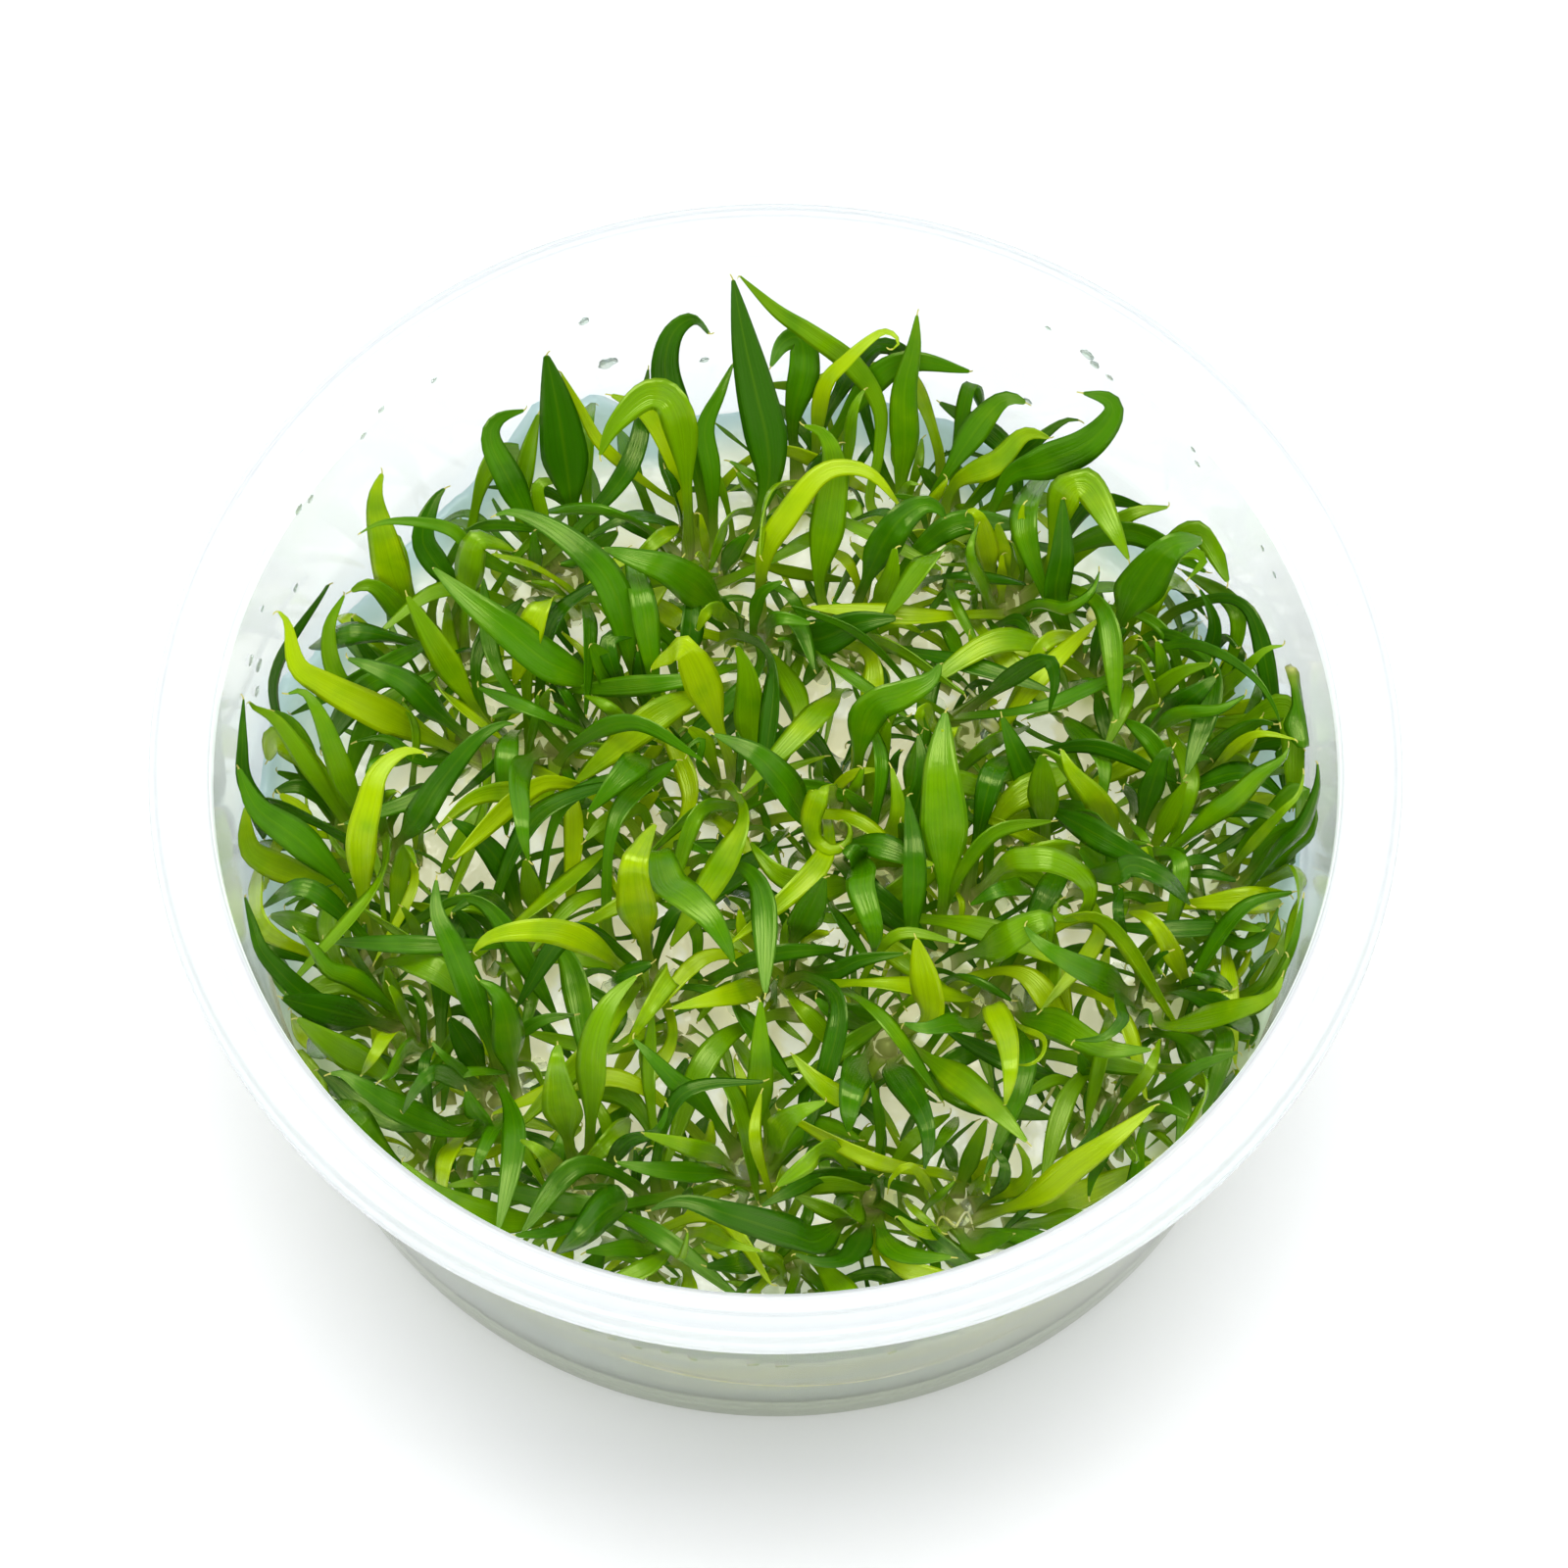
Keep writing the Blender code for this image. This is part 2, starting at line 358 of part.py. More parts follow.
def add_jelly(crowns, collection, guides):
    """The cast layer, with its top made uneven and a socket cut for each crown."""
    blank = turned("jelly_blank", jelly_profile(), JELLY_SEGMENTS, guides)
    bpy.context.view_layer.update()
    mesh = bpy.data.meshes.new_from_object(blank.evaluated_get(bpy.context.evaluated_depsgraph_get()))
    bpy.data.objects.remove(blank)
    for vertex in mesh.vertices:
        if vertex.co.z > (JELLY_Z - 1.0) * MM:
            vertex.co.z = jelly_top(vertex.co.x / MM, vertex.co.y / MM) * MM
    mesh.name = "culture_jelly"
    finish = material("culture_jelly", (0.62, 0.6, 0.48), 0.2)
    jelly = add_object("culture_jelly", mesh, collection, finish)

    shape = bmesh.new()
    height = CROWN_DEPTH + 3 * GAP + SOCKET_TOP
    radius = SOCKET_FLARE * height * KEEL_RADIUS / (CROWN_DEPTH + KEEL_RISE)
    for crown in crowns:
        centre = crown + Vector((0.0, 0.0, SOCKET_TOP - height / 2))
        bmesh.ops.create_cone(shape, cap_ends=True, segments=SOCKET_SIDES, radius1=0.0, radius2=radius * MM,
                              depth=height * MM, matrix=Matrix.Translation(centre * MM))
    sockets = bpy.data.meshes.new("sockets")
    shape.to_mesh(sockets)
    shape.free()
    add_boolean(jelly, add_guide("sockets", sockets, guides), "DIFFERENCE")
    return jelly


def inside_cup(point, margin):
    """The point, moved in from the wall and up from the jelly where it comes too near them."""
    limit = (wall_radius(point.z) - WALL) * math.cos(math.pi / CUP_SEGMENTS) - margin
    reach = math.hypot(point.x, point.y)
    if reach > limit:
        point = Vector((point.x * limit / reach, point.y * limit / reach, point.z))
    floor = jelly_top(point.x, point.y) + margin
    return Vector((point.x, point.y, max(point.z, floor)))


def smooth_line(points, count):
    """Evenly spaced points on a smooth curve through the given ones."""
    padded = [2 * points[0] - points[1], *points, 2 * points[-1] - points[-2]]
    fine = []
    for a, b, c, d in zip(padded, padded[1:], padded[2:], padded[3:]):
        for step in range(8):
            t = step / 8
            fine.append(0.5 * (2 * b + (c - a) * t + (2 * a - 5 * b + 4 * c - d) * t * t
                               + (3 * b - a - 3 * c + d) * t ** 3))
    fine.append(points[-1])
    lengths = [0.0]
    for a, b in zip(fine, fine[1:]):
        lengths.append(lengths[-1] + (b - a).length)
    line = []
    place = 0
    for step in range(count):
        wanted = lengths[-1] * step / (count - 1)
        while place < len(fine) - 2 and lengths[place + 1] < wanted:
            place += 1
        span = lengths[place + 1] - lengths[place]
        line.append(fine[place].lerp(fine[place + 1], (wanted - lengths[place]) / span))
    return line


def round_crown(crown, angle, radius, rise):
    return crown + Vector((radius * math.cos(angle), radius * math.sin(angle), rise))


def leaf_line(crown, side, leaf, rise):
    """The leaf's middle line from its crown's side to its tip, its heights changed by rise."""
    _, mid_z, tip_z, *points = leaf
    mid_z += rise[0]
    tip_z = min(tip_z + rise[1], TIP_CEILING)
    foot = round_crown(crown, side, CORNER_RADIUS, KEEL_RISE / 2 + CORNER_RISE / 2)
    runs = [math.dist(foot.xy, in_sight(*points[0][:2], foot.z + 2).xy)]
    for a, b in zip(points, points[1:]):
        runs.append(runs[-1] + math.dist(a[:2], b[:2]))
    bend_z = 2 * mid_z - (foot.z + tip_z) / 2
    line = [foot]
    for point, run in zip(points, runs):
        t = run / runs[-1]
        z = (1 - t) ** 2 * foot.z + 2 * t * (1 - t) * bend_z + t * t * tip_z
        if len(point) == 3:
            z = point[2] + rise[1]
        place = inside_cup(in_sight(point[0], point[1], min(z, TIP_CEILING)), LINE_MARGIN)
        if (place.xy - crown.xy).length > CLEAR_OF_CROWN or point is points[-1]:
            line.append(place)
    return line


def turning(line):
    """How far the line bends from end to end, in radians."""
    steps = [(b - a) for a, b in zip(line, line[1:])]
    return sum(a.angle(b, 0.0) for a, b in zip(steps, steps[1:]))


def blade_share(t):
    """The leaf's width at t from foot to tip, from 0 for its stalk alone to 1 at its widest."""
    rise = min(max((t - 0.25) / 0.35, 0.0), 1.0)
    return rise * rise * (3 - 2 * rise)


def taper(t):
    """How the leaf draws in to its point."""
    return math.sqrt(max(0.0, 1.0 - max(0.0, (t - 0.6) / 0.4) ** 1.7))


def leaf_rings(line, width, roll, across, swell=0.0):
    """The leaf's sections beyond its foot, each a right and a left edge and the keel below them, and its tip.

    across points to the right at the foot. From there the blade turns gently to lie broad side on to EYE.
    swell thickens the leaf all round, for testing how near it comes to others.
    """
    sections = LEAST_SECTIONS + round(turning(line) / BEND_PER_SECTION)
    middle = smooth_line(line, sections + 1)
    stalk = min(PETIOLE_WIDTH, 0.7 * width)
    rings = []
    for i in range(1, sections):
        t = i / sections
        along = (middle[i + 1] - middle[i - 1]).normalized()
        broad = along.cross((EYE - middle[i]).normalized())
        if broad.dot(across) < 0.0:
            broad.negate()
        across = BROAD_EASE * across.normalized() + broad
        across = (across - along * across.dot(along)).normalized()
        normal = across.cross(along)
        share = blade_share(t)
        half = (stalk + (width - stalk) * share) * taper(t) / 2 + swell
        depth = (PETIOLE_DEPTH + (BLADE_DEPTH - PETIOLE_DEPTH) * share) * taper(t) + swell
        right = across * math.cos(roll * share) + normal * math.sin(roll * share)
        down = along.cross(right)
        ring = [middle[i] + right * half, middle[i] - right * half, middle[i] + down * depth]
        if swell:
            ring.insert(1, middle[i] - down * swell)
        rings.append([inside_cup(corner, GAP) for corner in ring])
    return rings, middle[-1]


def loft_faces(rings):
    """Faces that join rings of vertex numbers, wound to face outward."""
    faces = []
    for low, high in zip(rings, rings[1:]):
        for k in range(len(low)):
            other = (k + 1) % len(low)
            faces += [(low[other], low[k], high[k]), (low[other], high[k], high[other])]
    return faces


def leaf_tree(rings, tip):
    """A tree of the faces between a leaf's rings and its tip, and whether they cross one another."""
    side = len(rings[0])
    vertices = [corner for ring in rings for corner in ring] + [tip]
    numbers = [range(side * i, side * (i + 1)) for i in range(len(rings))]
    faces = loft_faces(numbers) + [tuple(numbers[0])]
    faces += [(numbers[-1][k], numbers[-1][k - 1], len(vertices) - 1) for k in range(side)]
    tree = BVHTree.FromPolygons(vertices, faces)
    crossed = any(not set(faces[i]) & set(faces[j]) for i, j in tree.overlap(tree))
    return tree, crossed


def leaf_owner(crowns, leaf):
    """The number of the crown that lies nearest behind the leaf's foot."""
    foot, beyond = (in_sight(*point[:2], JELLY_Z + FOOT_RISE) for point in leaf[3:5])
    behind = foot - (beyond - foot).normalized() * FOOT_RISE
    return min(range(len(crowns)), key=lambda i: (crowns[i].xy - behind.xy).length)


def leaf_azimuth(crown, leaf):
    for point in leaf[3:]:
        heading = in_sight(*point[:2], JELLY_Z + FOOT_RISE).xy - crown.xy
        if heading.length > CLEAR_OF_CROWN:
            break
    return math.atan2(heading.y, heading.x)


def crown_sides(crown, leaves):
    """The angle of each side of a crown, and which leaf grows from it: a leaf's number or None."""
    places = sorted((leaf_azimuth(crown, LEAVES[number]), number) for number in leaves)
    while len(places) < CROWN_SIDES:
        turns = [b[0] - a[0] for a, b in zip(places, places[1:])] + [places[0][0] + math.tau - places[-1][0]]
        widest = turns.index(max(turns))
        places.insert(widest + 1, (places[widest][0] + turns[widest] / 2, None))
    step = math.tau / len(places)
    drift = [azimuth - step * i for i, (azimuth, _) in enumerate(places)]
    start = math.atan2(sum(map(math.sin, drift)), sum(map(math.cos, drift)))
    return [(start + step * i, number) for i, (_, number) in enumerate(places)]


def crown_rings(crown, sides):
    """The crown's corners and keels, a corner before and after each side and the keel below its middle."""
    half = math.pi / len(sides)
    corners = [round_crown(crown, angle - half, CORNER_RADIUS, CORNER_RISE) for angle, _ in sides]
    keels = [round_crown(crown, angle, KEEL_RADIUS, KEEL_RISE) for angle, _ in sides]
    return corners, keels


def leaf_base(crown, sides, number):
    """The ring on the crown's side that the leaf grows from."""
    corners, keels = crown_rings(crown, sides)
    i = [grown for _, grown in sides].index(number)
    return [corners[i], corners[(i + 1) % len(sides)], keels[i]]


def crown_tree(crown, sides):
    """A tree of the crown's own faces above the jelly."""
    corners, keels = crown_rings(crown, sides)
    count = len(sides)
    faces = [tuple(range(count)), tuple(range(count, 2 * count))]
    for i in range(count):
        after = (i + 1) % count
        faces += [(i, after, count + i), (count + i, after, count + after)]
    return BVHTree.FromPolygons(corners + keels, faces)


def rises():
    """Changes of height to try, half-way and at the tip, the smallest first."""
    steps = (0, 1.2, -1.2, 2.4, -2.4, 3.6, -3.6, 5, -5, 7, -7)
    pairs = [(mid, tip) for mid in steps for tip in steps if abs(mid - tip) < 6]
    return sorted(pairs, key=lambda pair: abs(pair[0]) + abs(pair[1]))


def clear_leaf(home, base, number, line, settled):
    """The leaf along this line, and trees of it with and without its foot; None if it touches anything."""
    width = LEAVES[number][0]
    roll = LEAF_ROLL * math.sin(2.4 * number)
    right, left, keel = base
    rings, tip = leaf_rings(line, width, roll, right - left)
    whole, crossed = leaf_tree([base] + rings, tip)
    if crossed:
        return None
    foot = [right, (right + left) / 2, left, keel]
    near, _ = leaf_rings(line, width, roll, right - left, OWN_GAP)
    far, _ = leaf_rings(line, width, roll, right - left, GAP)
    near_blade, _ = leaf_tree(near, tip)
    near_whole, _ = leaf_tree([foot] + near, tip)
    far_whole, _ = leaf_tree([foot] + far, tip)
    for owner, other_whole, other_blade in settled:
        if owner != home and far_whole.overlap(other_whole):
            return None
        if owner == home and near_blade.overlap(other_whole):
            return None
        if owner == home and other_blade is not None and near_whole.overlap(other_blade):
            return None
    blade, _ = leaf_tree(rings, tip)
    return (rings, tip), whole, blade


def grow_leaves(crowns, sides):
    """Every leaf's sections and tip, each leaf raised or lowered until it passes clear of the others."""
    homes = {number: (i, angle) for i, group in enumerate(sides) for angle, number in group}
    settled = [(i, crown_tree(crown, group), None) for i, (crown, group) in enumerate(zip(crowns, sides))]
    grown = {}
    for number, leaf in enumerate(LEAVES):
        home, angle = homes[number]
        base = leaf_base(crowns[home], sides[home], number)
        lines = (leaf_line(crowns[home], angle, leaf, rise) for rise in rises())
        tries = (clear_leaf(home, base, number, line, settled) for line in lines)
        grown[number], whole, blade = next(found for found in tries if found)
        settled.append((home, whole, blade))
    return grown


def add_plantlet(name, crown, sides, grown, collection):
    """A crown on its pointed foot, with a leaf drawn out of each side that has one."""
    corners, keels = crown_rings(crown, sides)
    vertices = corners + keels + [crown - Vector((0.0, 0.0, CROWN_DEPTH))]
    count = len(sides)
    foot = 2 * count
    faces = [tuple(range(count))]
    for i, (_, number) in enumerate(sides):
        after = (i + 1) % count
        faces += [(after, count + i, count + after), (foot, count + after, count + i)]
        if number is None:
            faces.append((after, i, count + i))
            continue
        rings, tip = grown[number]
        numbers = [(i, after, count + i)]
        for ring in rings:
            numbers.append(tuple(range(len(vertices), len(vertices) + len(ring))))
            vertices += ring
        faces += loft_faces(numbers)
        faces += [(numbers[-1][k], numbers[-1][k - 1], len(vertices)) for k in range(3)]
        vertices.append(tip)
    mesh = bpy.data.meshes.new(name)
    mesh.from_pydata([vertex * MM for vertex in vertices], [], faces)
    return add_object(name, mesh, collection, material(name, (0.13, 0.29, 0.02), 0.35))


def main():
    for item in list(bpy.data.objects):
        bpy.data.objects.remove(item)
    parts = bpy.data.collections.new("tissue_culture_cryptocoryne_parva")
    guides = bpy.data.collections.new("cutters")
    for collection in (parts, guides):
        bpy.context.scene.collection.children.link(collection)

    crowns = []
    for x, y in CROWNS:
        place = in_sight(x, y, JELLY_Z)
        crowns.append(Vector((place.x, place.y, jelly_top(place.x, place.y))))
    add_cup(parts)
    add_jelly(crowns, parts, guides)
    owners = [leaf_owner(crowns, leaf) for leaf in LEAVES]
    sides = [crown_sides(crown, [n for n, owner in enumerate(owners) if owner == i])
             for i, crown in enumerate(crowns)]
    grown = grow_leaves(crowns, sides)
    for i, (crown, group) in enumerate(zip(crowns, sides)):
        add_plantlet(f"plantlet_{i + 1:02d}", crown, group, grown, parts)


main()
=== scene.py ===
"""The look of a clear round cup of culture jelly, crowded with small cryptocoryne parva plantlets.

Lengths are millimetres, and meshes are made in metres. The cup stands on the origin, +Z up.
"""

import math
import random

import bpy
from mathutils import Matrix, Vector, noise
from mathutils.bvhtree import BVHTree


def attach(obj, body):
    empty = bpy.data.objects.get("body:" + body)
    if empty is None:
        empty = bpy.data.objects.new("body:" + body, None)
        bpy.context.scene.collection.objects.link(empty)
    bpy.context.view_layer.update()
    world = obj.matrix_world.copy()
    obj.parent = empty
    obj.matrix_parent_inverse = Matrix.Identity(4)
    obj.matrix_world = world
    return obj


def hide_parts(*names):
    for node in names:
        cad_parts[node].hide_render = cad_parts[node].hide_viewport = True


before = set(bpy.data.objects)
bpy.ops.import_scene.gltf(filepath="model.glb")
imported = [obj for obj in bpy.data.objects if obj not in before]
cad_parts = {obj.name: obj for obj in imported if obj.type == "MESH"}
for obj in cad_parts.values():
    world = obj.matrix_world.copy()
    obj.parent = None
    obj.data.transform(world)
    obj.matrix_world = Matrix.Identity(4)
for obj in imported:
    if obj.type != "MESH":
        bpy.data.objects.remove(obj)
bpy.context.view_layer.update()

MM = 0.001
UP = Vector((0.0, 0.0, 1.0))

# Cup
RIM_RADIUS = 50.0
CUP_HEIGHT = 43.5
BASE_RADIUS = 41.9
WALL_TOP_RADIUS = 45.8
WALL_TOP_Z = 42.0
WALL = 0.7
SKIRT_DROP = 1.6
FLOOR_Z = 1.3
PANEL_Z = 0.6
CUP_SEGMENTS = 48
FINE_CUP_SEGMENTS = 224
LONGEST_RUN = 5.0

# Where the cup turns from whitish to clear and back: heights, and the radius that its foot starts at
FOOT_Z = 6.5
UPPER_Z = 27.0
EDGE_Z = 40.7
EDGE_TOP_Z = 42.1
FOOT_RADIUS = 36.0
# The cup's materials: how milky, how rough, colour and glow. The glow is painted light, which brightens the
# whitish ring at the top of the wall and the upper wall
CUP_LOOKS = {
    "cup_wall": (0.02, 0.14, (0.95, 0.975, 0.98), 0.0),
    "cup_rim": (0.5, 0.14, (0.90, 0.93, 0.945), 0.0),
    "cup_foot": (0.5, 0.1, (0.42, 0.48, 0.33), 0.0),
    "cup_edge": (0.5, 0.14, (0.90, 0.93, 0.945), 0.4),
    "cup_upper": (0.02, 0.14, (0.95, 0.975, 0.98), 0.04),
}

# Culture jelly
GAP = 0.3
JELLY_Z = 19.1
JELLY_SEGMENTS = 420
JELLY_ROWS = 120
CORNER_Z = FLOOR_Z + 3.0

# Crowns
CROWN_SIDES = 5
KEEL_RADIUS = 1.2
KEEL_RISE = 0.8
CORNER_RADIUS = 1.15
CORNER_RISE = 1.7

# Leaves
PETIOLE_WIDTH = 0.9
PETIOLE_DEPTH = 0.7
BLADE_DEPTH = 0.45
TIP_CEILING = 42.8
LEAF_ROLL = 0.3
CLEAR_OF_CROWN = 3.0
FOOT_RISE = 3.0
OWN_GAP = 0.12
LINE_MARGIN = 0.9
BROAD_EASE = 0.5
LEAST_SECTIONS = 5
BEND_PER_SECTION = 1.1

# Fine leaves: how much wider than the solid, the section as shares of half width and thickness, and the hook
WIDEN = 1.13
SECTION = ((1.0, 0.0), (0.6, 0.0), (0.0, -0.25), (-0.6, 0.0), (-1.0, 0.0),
           (-0.6, -0.85), (0.0, -1.35), (0.6, -0.85))
TOP_CORNERS = 5
STALK_DEPTH = 0.55
FINE_DEPTH = 0.2
HOOK_RINGS = 5
HOOK_LENGTH = 0.6

# The places of crowns and leaves are read on a level plan at PLAN_Z, as they look from EYE. Each point is
# slid along its line of sight to its own height, so that the tangle looks the same from there.
PLAN_Z = 30.0
EYE = Vector((0.7, -192.7, 476.2))

CROWNS = (
    (-17.5, 20.5), (-6.0, 22.0), (-2.0, 15.5), (6.0, 15.5), (13.0, 24.0), (19.0, 18.5), (26.5, 12.5),
    (-27.0, 14.0), (-23.0, 5.0), (-11.0, 7.0), (-3.0, 1.0), (6.0, -1.0), (15.0, 7.0), (28.5, 6.5),
    (-32.5, -4.0), (-32.0, -13.5), (-18.0, 6.0), (-19.5, -11.5), (-9.5, -4.5), (-10.0, -16.0),
    (0.5, -14.0), (8.5, -6.5), (13.0, -13.5), (21.5, -5.5), (29.0, -5.0), (33.5, 2.0), (36.0, -7.5),
    (18.0, -17.0), (30.0, -16.5), (27.0, -26.0), (14.5, -34.5), (9.0, -20.5), (7.5, -33.5), (-2.0, -31.0),
    (-15.5, -32.5), (-8.5, -36.0), (-22.0, -25.0), (-29.5, -20.0), (2.5, 28.5), (33.0, 9.0), (15.0, -8.5),
    (34.5, -17.5), (-27.0, -29.0), (0.5, -38.5),
)

